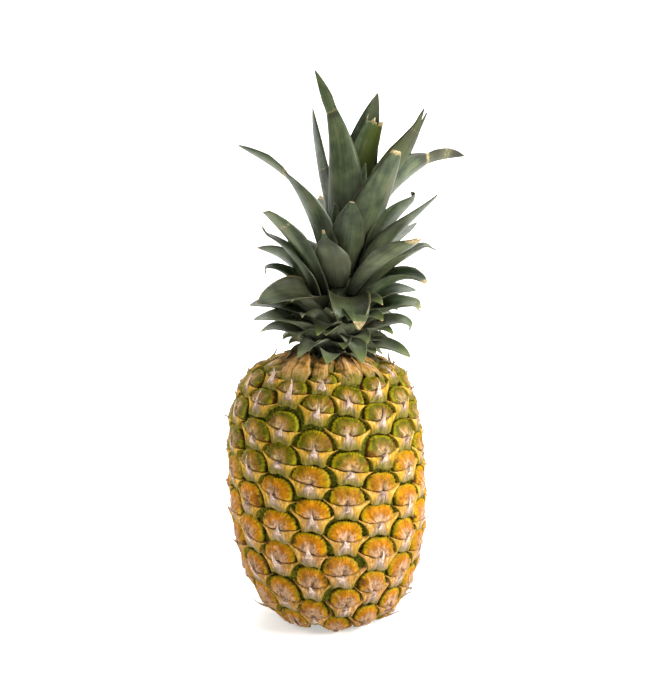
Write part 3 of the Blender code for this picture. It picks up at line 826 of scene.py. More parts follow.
def cutStalk():
    # cut stalk end, dried: pale straw pith with a ring of brown fibres
    material, add, shader = newMaterial("dried_cut_stalk", 0.8, 0.1)
    where = add("TexCoord", output="Object")
    flat = add("VectorMath", (where, (1.0, 1.0, 0.0)), operation="MULTIPLY")
    reach = add("VectorMath", (flat,), "Value", operation="LENGTH")
    mottle = add("TexNoise", {"Vector": where, "Scale": 1.0 / (0.9 * mm), "Detail": 4.0, "Roughness": 0.6})
    blotch = add("TexNoise", {"Vector": where, "Scale": 1.0 / (5.0 * mm), "Detail": 3.0, "Roughness": 0.6})
    pith = add("ValToRGB", (blotch,), stops=stalkLook["pith"])
    ring = add("Math", (mottle, 0.5), operation="SUBTRACT")
    ring = add("Math", (ring, 3.0 * mm, reach), operation="MULTIPLY_ADD")
    ring = add("MapRange", (ring, stalkLook["ringFrom"] * mm, stalkLook["ringTo"] * mm, 0.0, 0.9))
    colour = coat(add, pith, [(ring, stalkLook["ring"])], [(mottle, 0.7, 1.2)])
    dress(add, shader, colour, add("MapRange", (mottle, 0.3, 0.7, 0.7, 0.92)), mottle, 0.8, 0.5)
    return material


eyes = drawEyes()
makeDomes(eyes, ripeRind())
makeBracts(eyes, dryBract())
makePoints(eyes, dryPoint())
makeGround(greenGround())
makeStalk(cutStalk())
print("fruit skin built")

# The crown's law, the same as the solid's: heights are from the crown's foot, along its axis
crown = {
    "foot": 155.0,
    "lean": 6.5,
    "gap": 0.4,
    "stem": ((-4.0, 12.4), (8.0, 12.4), (28.0, 10.4), (50.0, 8.4), (66.0, 6.2), (76.0, 3.6), (79.0, 1.2)),
    "leafCount": 56,
    "turn": -137.5,
    "phase": -24.0,
    "firstHeight": 3.5,
    "lastHeight": 74.0,
    "heightPower": 1.1,
    # from the lowest leaf to the top one
    "rank": (0.0, 0.15, 0.30, 0.45, 0.60, 0.75, 0.90, 1.0),
    "chord": (28.0, 34.0, 44.0, 54.0, 62.0, 74.0, 60.0, 34.0),
    "angle": (4.0, 10.0, 24.0, 38.0, 50.0, 64.0, 78.0, 87.0),
    "launch": (34.0, 44.0, 56.0, 64.0, 72.0, 80.0, 86.0, 89.0),
    "tip": (-48.0, -36.0, -12.0, 16.0, 40.0, 58.0, 74.0, 86.0),
    "width": (25.0, 25.0, 25.0, 25.0, 24.0, 21.0, 15.0, 8.0),
    "root": (0.9, 0.8, 0.6, 0.48, 0.42, 0.4, 0.4, 0.4),
    "channel": (0.6, 0.6, 0.6, 0.65, 0.75, 0.95, 1.0, 1.0),
    "roll": (22.0, 22.0, 20.0, 14.0, 2.0, -12.0, -16.0, -10.0),
    "upperFrom": 16,
    "upperWidth": 1.10,
    "upperChannel": 0.88,
}

# Leaves that grew their own way, by number. Places and outline are shares of the leaf's length.
# chord: straight length in mm, at this angle above level; launch, tip: how steeply it leaves and
# ends; roll: its turn about its own length; width in mm, or outline: (place, width in mm) points;
# root: its foot's share of the width; cut: where a broken leaf ends; point: higher is blunter;
# bends: kinks (place, pitch, yaw, roll, span); sway: how far its tip drifts sideways in mm;
# tear, fork: depth in mm of a ragged and of a split end; dry, dark: where the dead and the
# blackened tip begin; nodes, burns: dead and dark patches (place, half length, strength);
# lime, olive, lilac, margin: how strongly its tip, side, body and edges take these colours,
# the body's grey-lilac being a painted sheen
habits = {
    1: dict(azimuth=-6, chord=25, angle=0, launch=40, tip=-45, width=20, lime=0.6, lilac=1.0,
        point=1.7),
    2: dict(azimuth=-158, width=22, root=0.75),
    3: dict(azimuth=68, chord=35, angle=8, launch=50, tip=-30, width=20, lime=0.7, lilac=0.6),
    4: dict(azimuth=-86, chord=33, angle=12, launch=52, tip=-40, width=17, lime=0.4, lilac=0.6),
    5: dict(azimuth=142, width=22, root=0.75),
    6: dict(azimuth=-32, chord=26, angle=-9, launch=50, tip=-48, width=19, lime=0.7, lilac=1.0,
        point=1.6),
    7: dict(azimuth=-128, chord=28, angle=-2, launch=44, tip=-50, width=18, lime=0.7, lilac=0.8),
    8: dict(azimuth=84, chord=37, angle=24, launch=58, tip=-45, width=20, lime=0.3, lilac=0.6,
        bends=((0.9, 60, 0, 0, 0.1),)),
    9: dict(azimuth=-68, chord=41, angle=14, launch=52, tip=-14, lime=0.3, lilac=0.5),
    11: dict(azimuth=24, chord=29, angle=-17, launch=48, tip=-48, width=20, lime=0.8, lilac=0.9,
        point=1.6),
    12: dict(azimuth=-90, chord=43, angle=17, launch=54, tip=-18),
    14: dict(azimuth=-16, chord=28, angle=2, launch=58, tip=-50, width=20, lime=0.8, lilac=0.8,
        point=1.5),
    16: dict(azimuth=76, chord=44, angle=28, launch=60, tip=4, cut=0.93, tear=3.0, dry=0.92, lime=0.3,
        bends=((0.9, 60, 0, 0, 0.08),)),
    17: dict(azimuth=-98, chord=48, angle=34, launch=70, tip=-40, width=16, root=0.5,
        bends=((0.9, 75, 0, 0, 0.08),), dark=0.97, dry=0.9),
    19: dict(azimuth=13, chord=39, angle=2, launch=60, tip=-72, width=25, lime=0.5, dry=0.86,
        point=1.8),
    20: dict(azimuth=-111, chord=59, angle=38, launch=64, tip=0, dark=0.97, roll=30),
    21: dict(chord=42),
    22: dict(azimuth=-44, chord=55, angle=6, launch=60, tip=-20, width=26, root=0.34,
        burns=((0.45, 0.5, 0.62),), margin=1.0, tear=3.0, dry=0.95, nodes=((1.0, 0.04, 0.8),),
        roll=-28),
    24: dict(azimuth=71, chord=46, angle=30, launch=56, tip=-28, dry=0.93, outline=((0, 17), (0.3, 27),
        (0.6, 27), (0.8, 22), (0.93, 14), (1.0, 6))),
    25: dict(azimuth=-80, chord=60, angle=43, launch=60, tip=12, bends=((0.9, -45, 20, 0, 0.1),),
        width=20),
    27: dict(azimuth=7, chord=33, angle=-10, launch=62, tip=-88, width=27, dry=0.97, margin=0.6,
        tear=4.0, olive=0.2, burns=((0.4, 0.45, 0.66),), outline=((0, 14), (0.3, 24), (0.5, 27),
        (0.7, 26), (0.86, 22), (1.0, 15)), nodes=((0.5, 0.012, 0.5),)),
    28: dict(bends=((0.88, 70, 0, 0, 0.1),)),
    29: dict(azimuth=84, chord=59, angle=45, launch=62, tip=36, dark=0.97,
        bends=((0.9, 55, 0, 0, 0.08),), outline=((0, 15), (0.3, 27), (0.6, 26), (0.8, 20), (0.92, 12),
        (1.0, 2))),
    30: dict(azimuth=-60, chord=64, angle=45, launch=60, tip=30, roll=14, nodes=((0.8, 0.03, 0.45),),
        outline=((0, 9), (0.2, 13), (0.45, 16), (0.65, 16.5), (0.85, 14), (0.94, 11.5), (1.0, 7.5)),
        dark=0.985),
    32: dict(azimuth=40, chord=63, angle=37, launch=60, tip=32, tear=4.0, dry=0.88, lilac=0.6,
        outline=((0, 9), (0.3, 16), (0.6, 23), (0.8, 20), (0.93, 13), (1.0, 7))),
    33: dict(azimuth=-108, chord=46, angle=48),
    34: dict(azimuth=126, angle=46),
    35: dict(azimuth=-26, chord=37, angle=60, launch=66, tip=76, width=29, sway=-2.5, lilac=0.7, roll=0,
        dry=0.93, outline=((0, 14), (0.2, 20), (0.4, 24.5), (0.56, 23), (0.7, 17), (0.81, 9.5),
        (0.88, 4), (1.0, 1.6)), burns=((0.48, 0.16, 0.45), (0.8, 0.06, 0.5))),
    37: dict(azimuth=74, chord=70, angle=54, launch=66, tip=50, width=25, dark=0.96, roll=-6,
        burns=((0.6, 0.3, 0.35),)),
    38: dict(azimuth=-60, chord=70, angle=57, launch=72, tip=36, width=24, dark=0.97),
    39: dict(azimuth=160),
    40: dict(azimuth=0, chord=46, angle=68, launch=78, tip=78, width=24, dry=0.97, outline=((0, 12),
        (0.2, 17), (0.45, 20), (0.62, 19.5), (0.78, 16), (0.88, 10.5), (0.95, 6), (1.0, 2.8)),
        burns=((0.5, 0.3, 0.28),)),
    41: dict(azimuth=-115, chord=99, angle=51, launch=62, tip=32, width=17, roll=30,
        bends=((0.6, 16, 0, 0, 0.08),), nodes=((0.655, 0.018, 1.0),), burns=((0.6, 0.03, 0.85),),
        dry=1.1, outline=((0, 12), (0.2, 20), (0.45, 17), (0.56, 11), (0.62, 8.5), (0.68, 13),
        (0.8, 14), (0.9, 9), (0.97, 5), (1.0, 2.5))),
    42: dict(azimuth=98, chord=60, angle=57, launch=68, tip=42, width=26, dry=0.95, roll=-32,
        bends=((0.93, -80, 30, 0, 0.06),)),
    43: dict(azimuth=-36, chord=38, angle=78, width=14),
    45: dict(azimuth=43, chord=71, angle=70, launch=80, tip=66, width=27, cut=0.95, dry=0.95,
        burns=((0.6, 0.3, 0.2),)),
    46: dict(azimuth=-112, chord=90, angle=75, launch=80, tip=78, width=21, roll=42,
        nodes=((0.6, 0.012, 0.5),), burns=((0.57, 0.03, 0.8),), dry=1.1),
    47: dict(azimuth=175, chord=101, angle=82, launch=86, tip=84, width=27, root=0.35, sway=-7,
        dry=1.1),
    48: dict(azimuth=-20, chord=104, angle=86, launch=84, tip=89, width=25, sway=-26,
        outline=((0.0, 12.0), (0.12, 20.0), (0.28, 23.5), (0.42, 21.5), (0.5, 19.3), (0.62, 14.8),
        (0.72, 11.0), (0.785, 8.2), (0.81, 7.0), (0.87, 7.4), (0.92, 5.6), (0.97, 3.0), (1.0, 0.9)),
        nodes=((0.8, 0.007, 0.5),), burns=((0.775, 0.018, 0.7),), olive=0.12, dry=1.1),
    49: dict(azimuth=-128, chord=34, angle=85, launch=85, tip=84, width=8),
    50: dict(azimuth=111, chord=91, angle=46, launch=70, tip=-4, width=18, roll=-46, outline=((0, 9),
        (0.2, 20), (0.45, 26), (0.62, 22), (0.7, 13), (0.735, 9), (0.78, 10), (0.88, 9), (0.95, 5.5),
        (1.0, 1)), nodes=((0.735, 0.014, 0.9), (0.88, 0.045, 0.45)), dark=0.95, dry=1.1,
        burns=((0.7, 0.02, 0.8), (0.8, 0.05, 0.75), (0.96, 0.06, 0.85))),
    51: dict(azimuth=-70, chord=44, angle=80, width=10),
    52: dict(azimuth=176, chord=78, angle=86, launch=88, tip=86, width=19, sway=-9, cut=0.8, tear=5.0,
        dry=0.93, olive=0.8),
    55: dict(azimuth=96, chord=88, angle=68, launch=72, tip=72, width=16, roll=-52, fork=11.0,
        burns=((0.8, 0.17, 0.6),), nodes=((0.84, 0.02, 0.4),), dark=0.93, olive=0.5, dry=1.1,
        outline=((0, 8), (0.2, 20), (0.45, 25), (0.65, 20), (0.8, 12), (0.88, 7), (0.94, 6),
        (1.0, 3.5))),
}


def crownAxes(azimuth):
    # outward, sideways and upward directions at an azimuth (0 is the front, 90 the right)
    turn, lean = math.radians(azimuth), math.radians(crown["lean"])
    sine, cosine, level, fall = math.sin(turn), math.cos(turn), math.cos(lean), math.sin(lean)
    outward = np.array([sine * level, -cosine, -sine * fall])
    sideways = np.array([cosine * level, sine, -cosine * fall])
    return outward, sideways, np.array([fall, 0.0, level])


def stemRadius(height):
    heights, radii = zip(*crown["stem"])
    return float(np.interp(height, heights, radii))


# What a leaf has unless its own habit says otherwise
plainHabit = {
    "sway": 0.0,
    "cut": 1.0,
    "dark": 1.02,
    "tear": 0.0,
    "fork": 0.0,
    "lime": 0.0,
    "olive": 0.0,
    "lilac": 0.0,
    "margin": 0.15,
    "point": 2.6,
    "burns": (),
    "nodes": (),
    "bends": (),
    "outline": None,
}
plainDry = {"from": 0.965, "varies": 0.04}


def leafHabit(number):
    # all that shapes and colours one leaf
    rank = (number - 1) / (crown["leafCount"] - 1)
    spread = crown["lastHeight"] - crown["firstHeight"]
    habit = {key: float(np.interp(rank, crown["rank"], crown[key]))
             for key in ("chord", "angle", "launch", "tip", "width", "root", "channel", "roll")}
    habit["azimuth"] = crown["phase"] + crown["turn"] * (number - 1)
    habit["foot"] = crown["firstHeight"] + spread * rank ** crown["heightPower"]
    habit["roll"] *= math.sin(math.radians(habit["azimuth"]))
    habit["dry"] = plainDry["from"] + plainDry["varies"] * math.sin(2.4 * number)
    habit.update(plainHabit)
    habit.update(habits.get(number, {}))
    if number >= crown["upperFrom"]:
        habit["width"] *= crown["upperWidth"]
        habit["channel"] *= crown["upperChannel"]
    return habit


# How finely a leaf is made, and its thickness and small waves in millimetres
leaf = {
    "stations": 46,
    "across": 13,
    "under": 11,
    "handle": 0.38,
    "fullWidthAt": 0.34,
    "rootThickness": 1.7,
    "tipThickness": 0.6,
    "edgeThickness": 0.3,
    "tipWidth": 0.9,
    "edgeWave": 0.35,
    "raggedFrom": 0.82,
    "deadBlend": 0.05,
    "seed": 77,
}


def turned(vectors, axis, degrees):
    # vectors turned about an axis, or each about its own, each by its own angle
    axis = axis / np.linalg.norm(axis, axis=-1, keepdims=True)
    angle = np.radians(degrees)[:, None]
    along = np.sum(vectors * axis, axis=1)[:, None] * axis
    return vectors * np.cos(angle) + np.cross(axis, vectors) * np.sin(angle) + along * (1.0 - np.cos(angle))


def leafCentre(habit, share):
    # the leaf's middle line and its frame at each share of its length
    outward, sideways, upward = crownAxes(habit["azimuth"])
    start = np.array([stemRadius(habit["foot"]) + crown["gap"], habit["foot"]])
    chord, launch, tip = (math.radians(habit[key]) for key in ("angle", "launch", "tip"))
    end = start + habit["chord"] * np.array([math.cos(chord), math.sin(chord)])
    handle = leaf["handle"] * habit["chord"]
    first = start + handle * np.array([math.cos(launch), math.sin(launch)])
    second = end - handle * np.array([math.cos(tip), math.sin(tip)])
    plane = bezier((start, first, second, end), share)
    line = np.array([0.0, 0.0, crown["foot"]]) + plane[:, :1] * outward + plane[:, 1:] * upward
    line = line + (habit["sway"] * share**3)[:, None] * sideways
    ahead = np.gradient(line, axis=0)
    ahead /= np.linalg.norm(ahead, axis=1)[:, None]
    inward = np.cross(ahead, np.broadcast_to(sideways, ahead.shape))
    inward /= np.linalg.norm(inward, axis=1)[:, None]
    aside = np.cross(inward, ahead)
    lengths = np.linalg.norm(np.diff(line, axis=0), axis=1)
    inward, aside = (turned(v, ahead, habit["roll"] * smooth(share / 0.6)) for v in (inward, aside))
    for place, pitch, yaw, roll, span in habit["bends"]:
        at = int(np.searchsorted(share, place))
        weight = smooth((share - place) / span + 0.5)
        for axis, amount in ((aside[at], pitch), (inward[at], yaw), (ahead[at], roll)):
            if amount:
                axis = axis.copy()
                ahead, inward, aside = (turned(v, axis, amount * weight) for v in (ahead, inward, aside))
    middle = (ahead[1:] + ahead[:-1]) / 2.0
    middle /= np.linalg.norm(middle, axis=1)[:, None]
    line = np.concatenate([line[:1], line[0] + np.cumsum(middle * lengths[:, None], axis=0)])
    return line, ahead, inward, aside


def leafWidth(habit, share):
    # its width in mm along the leaf
    if habit["outline"]:
        places, widths = zip(*habit["outline"])
        return np.interp(share, places, widths)
    grown = habit["root"] + (1.0 - habit["root"]) * smooth(share / leaf["fullWidthAt"])
    taper = np.clip(1.0 - (share * habit["cut"]) ** habit["point"], 0.0, 1.0) ** 0.8
    return np.maximum(habit["width"] * grown * taper, leaf["tipWidth"])


def shapeLeaf(habit, number, stations):
    # one closed leaf: its points, faces and the values its material reads
    rng = np.random.default_rng(leaf["seed"] + number)
    chance = rng.uniform(-1.0, 1.0, 10)
    share = np.linspace(0.0, 1.0, stations)
    line, ahead, inward, aside = leafCentre(habit, share)
    width = leafWidth(habit, share)
    half = width / 2.0
    length = float(np.sum(np.linalg.norm(np.diff(line, axis=0), axis=1)))
    opening = smooth(share / leaf["fullWidthAt"])
    root = stemRadius(habit["foot"]) + crown["gap"]
    channel = root + (habit["channel"] * habit["width"] - root) * opening
    thick = leaf["rootThickness"] + (leaf["tipThickness"] - leaf["rootThickness"]) * share
    thick = np.minimum(thick, 0.35 * width + 0.1)
    upper = np.linspace(-1.0, 1.0, leaf["across"])
    lower = np.linspace(1.0, -1.0, leaf["under"] + 2)[1:-1]
    u = np.concatenate([upper, lower])
    below = np.concatenate([np.zeros(len(upper)), np.ones(len(lower))])
    bend = u[None, :] * (half / channel)[:, None]
    bulge = 1.0 - u[None, :] ** 2
    depth = leaf["edgeThickness"] + (thick[:, None] - leaf["edgeThickness"]) * bulge
    radius = channel[:, None] + depth * below[None, :]
    sideOffset = radius * np.sin(bend)
    liftOffset = channel[:, None] - radius * np.cos(bend)
    # edges wave a little, the more the further out
    wave = np.sin(share[:, None] * (9.0 + 3.0 * chance[0]) + 3.0 * chance[1] + 1.6 * np.sign(u)[None, :])
    liftOffset = liftOffset + leaf["edgeWave"] * wave * np.abs(u[None, :]) ** 3 * opening[:, None]
    # ragged or forked ends run back along the leaf
    back = np.zeros((len(share), len(u)))
    near = smooth((share - leaf["raggedFrom"]) / (1.0 - leaf["raggedFrom"]))[:, None]
    if habit["tear"]:
        teeth = np.sin(7.0 * u + 4.0 * chance[2]) + 0.7 * np.sin(17.0 * u + 9.0 * chance[3])
        back = back - habit["tear"] * (0.5 + 0.35 * teeth)[None, :] * near
    if habit["fork"]:
        back = back - habit["fork"] * (1.0 - np.abs(u) ** 0.7)[None, :] * near
    grid = (line[:, None, :] + sideOffset[..., None] * aside[:, None, :]
            + liftOffset[..., None] * inward[:, None, :] + back[..., None] * ahead[:, None, :])
    rows, columns = grid.shape[:2]
    faces = gridFaces(rows, columns, closed=True)
    # both ends are closed by strips between the upper and the lower points
    for row in (0, rows - 1):
        top = [row * columns + k for k in range(len(upper))]
        under = [top[0]] + [row * columns + columns - k for k in range(1, len(lower) + 1)] + [top[-1]]
        for k in range(len(upper) - 1):
            corners = tuple(dict.fromkeys([top[k], top[k + 1], under[k + 1], under[k]]))
            if len(corners) > 2:
                faces.append(corners)
    ones = np.ones((rows, columns))
    shares = ones * share[:, None] + back / length
    dry, dark = (smooth((shares - habit[key]) / leaf["deadBlend"]) for key in ("dry", "dark"))
    for place, reach, strength in habit["nodes"]:
        dry = np.maximum(dry, strength * np.exp(-(((shares - place) / reach) ** 2)))
    for place, reach, strength in habit["burns"]:
        dark = np.maximum(dark, strength * np.exp(-(((shares - place) / reach) ** 2)))
    values = {
        "leafPlace": (shares * length / 100.0, ones * u[None, :], ones * below[None, :]),
        "leafMood": (dry, dark, ones * (number * 0.377 % 1.0)),
        "leafTint": (ones * habit["lime"], ones * habit["olive"], shares),
        "leafSize": (ones * width[:, None] / 20.0, ones * habit["lilac"], ones * habit["margin"]),
    }
    return grid.reshape(-1, 3), faces, {key: np.stack(v, -1).reshape(-1, 3) for key, v in values.items()}


def makeLeaf(number, material):
    points, faces, values = shapeLeaf(leafHabit(number), number, leaf["stations"])
    piece = addPiece(f"crown_leaf_{number:02d}", points, faces, material, values)
    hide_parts(f"leaf_{number:02d}")


# The short leaves that fill the rosette's foot between the named ones
rosette = {
    "count": 44,
    "phase": 44.0,
    "heights": (1.2, 27.0),
    "chord": (14.0, 26.0),
    "angle": (-8.0, 26.0),
    "launch": (26.0, 52.0),
    "tip": (-62.0, -40.0),
    "width": (15.0, 20.0),
    "scatter": 0.16,
    "turnScatter": 9.0,
    "like": 8,
    "sway": 2.5,
    "stations": 24,
    "seed": 909,
    "habit": {
        "dry": 0.95, "lime": 0.5, "lilac": 1.0, "root": 0.9, "channel": 0.55, "point": 1.7, "bends": (),
    },
}


def makeRosette(material):
    rng = np.random.default_rng(rosette["seed"])
    allPoints, allFaces, allValues = [], [], {}
    count = 0
    for number in range(rosette["count"]):
        chance = rng.uniform(-1.0, 1.0, 8)
        up = number / (rosette["count"] - 1)
        low, high = rosette["heights"]
        habit = leafHabit(rosette["like"]) | rosette["habit"] | {
            "azimuth": rosette["phase"] + crown["turn"] * number + rosette["turnScatter"] * chance[0],
            "foot": low + (high - low) * up,
            "sway": rosette["sway"] * chance[1],
        }
        for at, key in enumerate(("chord", "angle", "launch", "tip", "width")):
            first, last = rosette[key]
            habit[key] = (first + (last - first) * up) * (1.0 + rosette["scatter"] * chance[2 + at])
        points, faces, values = shapeLeaf(habit, 200 + number, rosette["stations"])
        allPoints.append(points)
        allFaces += [tuple(corner + count for corner in face) for face in faces]
        for key, value in values.items():
            allValues.setdefault(key, []).append(value)
        count += len(points)
    joined = {key: np.concatenate(parts) for key, parts in allValues.items()}
    addPiece("rosette_leaves", np.concatenate(allPoints), allFaces, material, joined)


leafLook = {
    "outside": [(0.34, "#222a18"), (0.44, "#364028"), (0.53, "#4a5638"), (0.64, "#647050")],
    "inside": [(0.34, "#1a2112"), (0.44, "#2d3922"), (0.53, "#455139"), (0.64, "#616d50")],
    "olive": "#4a5600",
    # grey of the wax at the leaves' feet, and the painted sheen on the short leaves
    "bloomAndSheen": "#858970",
    "scurf": "#54482c",
    # painted shade at the leaves' feet deep in the crown
    "claspShade": "#12170c",
    "margin": "#a39c6c",
    "lime": "#828c4c",
    "dead": [(0.3, "#6f5a36"), (0.5, "#a18d60"), (0.7, "#cfc09a")],
    "burnt": "#2b2418",
}


def waxyLeaf():
    # living pineapple leaf, grown: waxy slate green with fine lengthwise ribs, grey wax at its foot, pale
    # margins, yellow-green short tips and dead ends from cream to blackish brown; a painted grey sheen
    # over the short leaves, and painted shade at its foot and towards its edges
    material, add, shader = newMaterial("waxy_ribbed_leaf", 0.42, 0.3)
    along, side, outer = meshValues(add, "leafPlace")
    dry, dark, seed = meshValues(add, "leafMood")
    lime, olive, share = meshValues(add, "leafTint")
    wide, lilac, margin = meshValues(add, "leafSize")
    where = add("TexCoord", output="Object")
    blotch = {"Vector": where, "Scale": 1.0 / (14.0 * mm), "Detail": 3.0, "Roughness": 0.55}
    blotch = add("TexNoise", blotch)
    mottle = add("TexNoise", {"Vector": where, "Scale": 1.0 / (1.5 * mm), "Detail": 4.0, "Roughness": 0.6})
    apart = add("Math", (side,), operation="ABSOLUTE")
    # ribs about 0.9 mm apart run the leaf's length; broader bands are 5 mm apart
    across = add("Math", (side, wide), operation="MULTIPLY")
    rib = streaks(add, (across, along, seed), (22.0, 4.0, 60.0), 3.0)
    band = streaks(add, (across, along, seed), (3.0, 2.4, 31.0), 2.0)
    vary = add("Math", (band, 0.35), operation="MULTIPLY")
    vary = add("Math", (blotch, 0.65, vary), operation="MULTIPLY_ADD")
    inside, outside = [add("ValToRGB", (vary,), stops=leafLook[key]) for key in ("inside", "outside")]
    oliveHere = add("MapRange", (side, -0.2, 0.5, 1.0, 0.25))
    oliveHere = add("Math", (olive, oliveHere), operation="MULTIPLY")
    # grey wax at the foot, and over the arches of the short leaves a painted grey sheen where the light
    # catches them
    bloomAndSheen = add("MapRange", (share, 0.5, 0.0, 0.0, 0.6))
    bloomAndSheen = add("Math", (bloomAndSheen, blotch), operation="MULTIPLY")
    short = add("Math", (lilac, 1.6), operation="MULTIPLY")
    short = add("Math", (short, add("MapRange", (share, 0.85, 0.5, 0.0, 1.0))), operation="MULTIPLY")
    short = add("Math", (short, blotch), operation="MULTIPLY")
    bloomAndSheen = add("Math", (bloomAndSheen, short), operation="MAXIMUM")
    # old brownish scurf in patches
    scurf = add("Math", (blotch, 0.6), operation="MULTIPLY")
    scurf = add("Math", (band, 0.4, scurf), operation="MULTIPLY_ADD")
    scurf = add("MapRange", (scurf, 0.52, 0.64, 0.0, 0.5))
    # lighter and darker by rib, and painted shade towards both edges, where the channel turns away from the
    # light
    edgeShade = add("Math", (apart, 0.7), operation="MULTIPLY")
    layers = [(outer, outside), (oliveHere, leafLook["olive"]), (bloomAndSheen, leafLook["bloomAndSheen"]),
              (scurf, leafLook["scurf"])]
    living = coat(add, inside, layers, [(rib, 0.78, 1.2), (edgeShade, 1.08, 0.7)])
    # painted shade deep in the crown, at the leaves' feet round the stem
    claspShade = add("Math", (lilac, 0.12, share), operation="MULTIPLY_ADD")
    claspShade = add("MapRange", (claspShade, 0.44, 0.08, 0.0, 0.94))
    # pale dry margins and yellow-green tips
    edge = add("Math", (mottle, 0.06, apart), operation="MULTIPLY_ADD")
    edge = add("Math", (add("MapRange", (edge, 0.93, 1.02, 0.0, 1.0)), margin), operation="MULTIPLY")
    tip = add("Math", (add("MapRange", (share, 0.68, 1.0, 0.0, 0.9)), lime), operation="MULTIPLY")
    # dead tissue: tan to cream, then blackish brown
    deadHere = add("Math", (mottle, 0.5, -0.25), operation="MULTIPLY_ADD")
    deadHere = add("Math", (dry, deadHere), operation="ADD")
    deadHere = add("MapRange", (deadHere, 0.3, 0.7, 0.0, 1.0))
    dead = add("ValToRGB", (mottle,), stops=leafLook["dead"])
    layers = [(claspShade, leafLook["claspShade"]), (edge, leafLook["margin"]), (tip, leafLook["lime"]),
              (deadHere, dead), (dark, leafLook["burnt"])]
    waxy = add("MapRange", (rib, 0.3, 0.7, 0.32, 0.5))
    rough = add("Mix", {0: deadHere, 2: waxy, 3: 0.8}, data_type="FLOAT")
    height = add("Math", (mottle, 0.25, rib), operation="MULTIPLY_ADD")
    dress(add, shader, coat(add, living, layers), rough, height, 0.45, 0.35)
    return material


def makeStem(material):
    # the short stem that carries the leaves
    heights = np.linspace(crown["stem"][0][0], crown["stem"][-1][0], 40)
    turns = np.linspace(0.0, 360.0, 32, endpoint=False)
    foot = np.array([0.0, 0.0, crown["foot"]])
    upward = crownAxes(0.0)[2]
    outwards = np.stack([crownAxes(turn)[0] for turn in turns])
    radii = np.array([stemRadius(height) for height in heights])
    grid = foot + heights[:, None, None] * upward + radii[:, None, None] * outwards[None, :, :]
    faces = gridFaces(len(heights), len(turns), closed=True)
    faces.append(tuple(range(len(turns))))
    faces.append(tuple(range((len(heights) - 1) * len(turns), len(heights) * len(turns))))
    piece = addPiece("stem_core_green", grid.reshape(-1, 3), faces, material)
    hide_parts("crown_stem")


# the stem's pale green is darkened to painted shade, deep inside the crown
stemLook = {"fleshPaintedShade": [(0.3, "#1e2614"), (0.5, "#333d20"), (0.7, "#566038")]}


def stemFlesh():
    # young stem, grown: pale green fibrous tissue between the leaf feet, painted dark as the shade deep in
    # the crown
    material, add, shader = newMaterial("pale_green_stem_painted_shade", 0.6, 0.3)
    where = add("TexCoord", output="Object")
    mottle = add("TexNoise", {"Vector": where, "Scale": 1.0 / (2.0 * mm), "Detail": 4.0, "Roughness": 0.6})
    colour = add("ValToRGB", (mottle,), stops=stemLook["fleshPaintedShade"])
    dress(add, shader, colour, add("MapRange", (mottle, 0.3, 0.7, 0.5, 0.7)), mottle, 0.6, 0.5)
    return material


leafWax = waxyLeaf()
for leafNumber in range(1, crown["leafCount"] + 1):
    makeLeaf(leafNumber, leafWax)
makeRosette(leafWax)
makeStem(stemFlesh())
print("crown leaves built")


# The papery bracts that fan up round the crown's foot
collar = {
    "count": 46,
    "turn": 137.5,
    "phase": 12.0,
    "below": (21.0, 3.0),
    "length": (9.0, 20.0),
    "width": (6.0, 12.0),
    "lift": 1.7,
    "rise": 3.0,
    "cup": 0.9,
    "rootTuck": 2.6,
    "drift": 2.5,
    "outline": ((0.0, 0.3, 0.6, 0.85, 1.0), (0.7, 1.0, 0.62, 0.25, 0.05)),
    "stations": 15,
    "across": 7,
    "seed": 313,
    # a few broad ones stand together on one side
    "broad": {"count": 8, "centre": 2.0, "spread": 14.0, "below": 26.0, "length": 22.0, "width": 10.0},
}


def makeCollar(material):
    rng = np.random.default_rng(collar["seed"])
    share = np.linspace(0.0, 1.0, collar["stations"])[:, None]
    u = np.linspace(-1.0, 1.0, collar["across"])[None, :]
    points, faces, places = [], [], []
    count = 0
    for number in range(collar["count"]):
        chance = rng.uniform(-1.0, 1.0, 8)
        up = (number + 0.5) / collar["count"]
        (first, last), middle = collar["below"], collar["phase"] + collar["turn"] * number
        start = skinLength - (first + (last - first) * up) + 2.0 * chance[0]
        length, width = (
            low + (high - low) * (0.5 + 0.5 * amount)
            for (low, high), amount in ((collar["length"], chance[1]), (collar["width"], chance[2])))
        broad = collar["broad"]
        if number < broad["count"]:
            middle = broad["centre"] + broad["spread"] * (number - (broad["count"] - 1) / 2.0)
            middle += 4.0 * chance[7]
            start = skinLength - broad["below"] + 4.0 * chance[0] + 1.2 * abs(number - broad["count"] / 2.0)
            length, width = broad["length"] + 3.0 * chance[1], broad["width"] + 2.0 * chance[2]
        half = 0.5 * width * np.interp(share, *collar["outline"])
        along = start + share * length
        radius = np.maximum(np.interp(along, topAlong, topRadius), 8.0)
        sideways = u * half + collar["drift"] * chance[3] * share**2
        sideways = sideways + 0.4 * np.sin(14.0 * share + 5.0 * chance[4]) * u
        angle = middle + np.degrees(sideways / radius)
        cup = collar["cup"] * u**2 * (1.0 - share)
        lift = collar["lift"] + collar["rise"] * (1.0 + 0.7 * chance[5]) * share**1.6 - cup
        lift = lift + 0.35 * np.sin(8.0 * u + 4.0 * chance[6]) * share
        lift = lift - collar["rootTuck"] * smooth((0.1 - share) / 0.1)
        lift = lift + 1.1 * chance[7] * u + 0.9 * chance[4]
        grid = skinPoints(angle, along + 0.0 * u, lift)
        points.append(grid.reshape(-1, 3))
        ones = np.ones(grid.shape[:2])
        place = np.stack([ones * u, ones * share, ones * (number * 0.377 % 1.0)], -1)
        places.append(place.reshape(-1, 3))
        faces += gridFaces(grid.shape[0], grid.shape[1], count)
        count += grid.shape[0] * grid.shape[1]
    addPiece("collar_bracts", np.concatenate(points), faces, material,
             {"scalePlace": np.concatenate(places)})


scaleLook = {
    "paper": [(0.36, "#5e4a1c"), (0.46, "#a4762c"), (0.55, "#bd9158"), (0.66, "#86603c")],
    "fibre": "#d2b586",
    "foot": "#5e6420",
    "rim": "#5a4018",
    "tip": "#5a3d22",
}


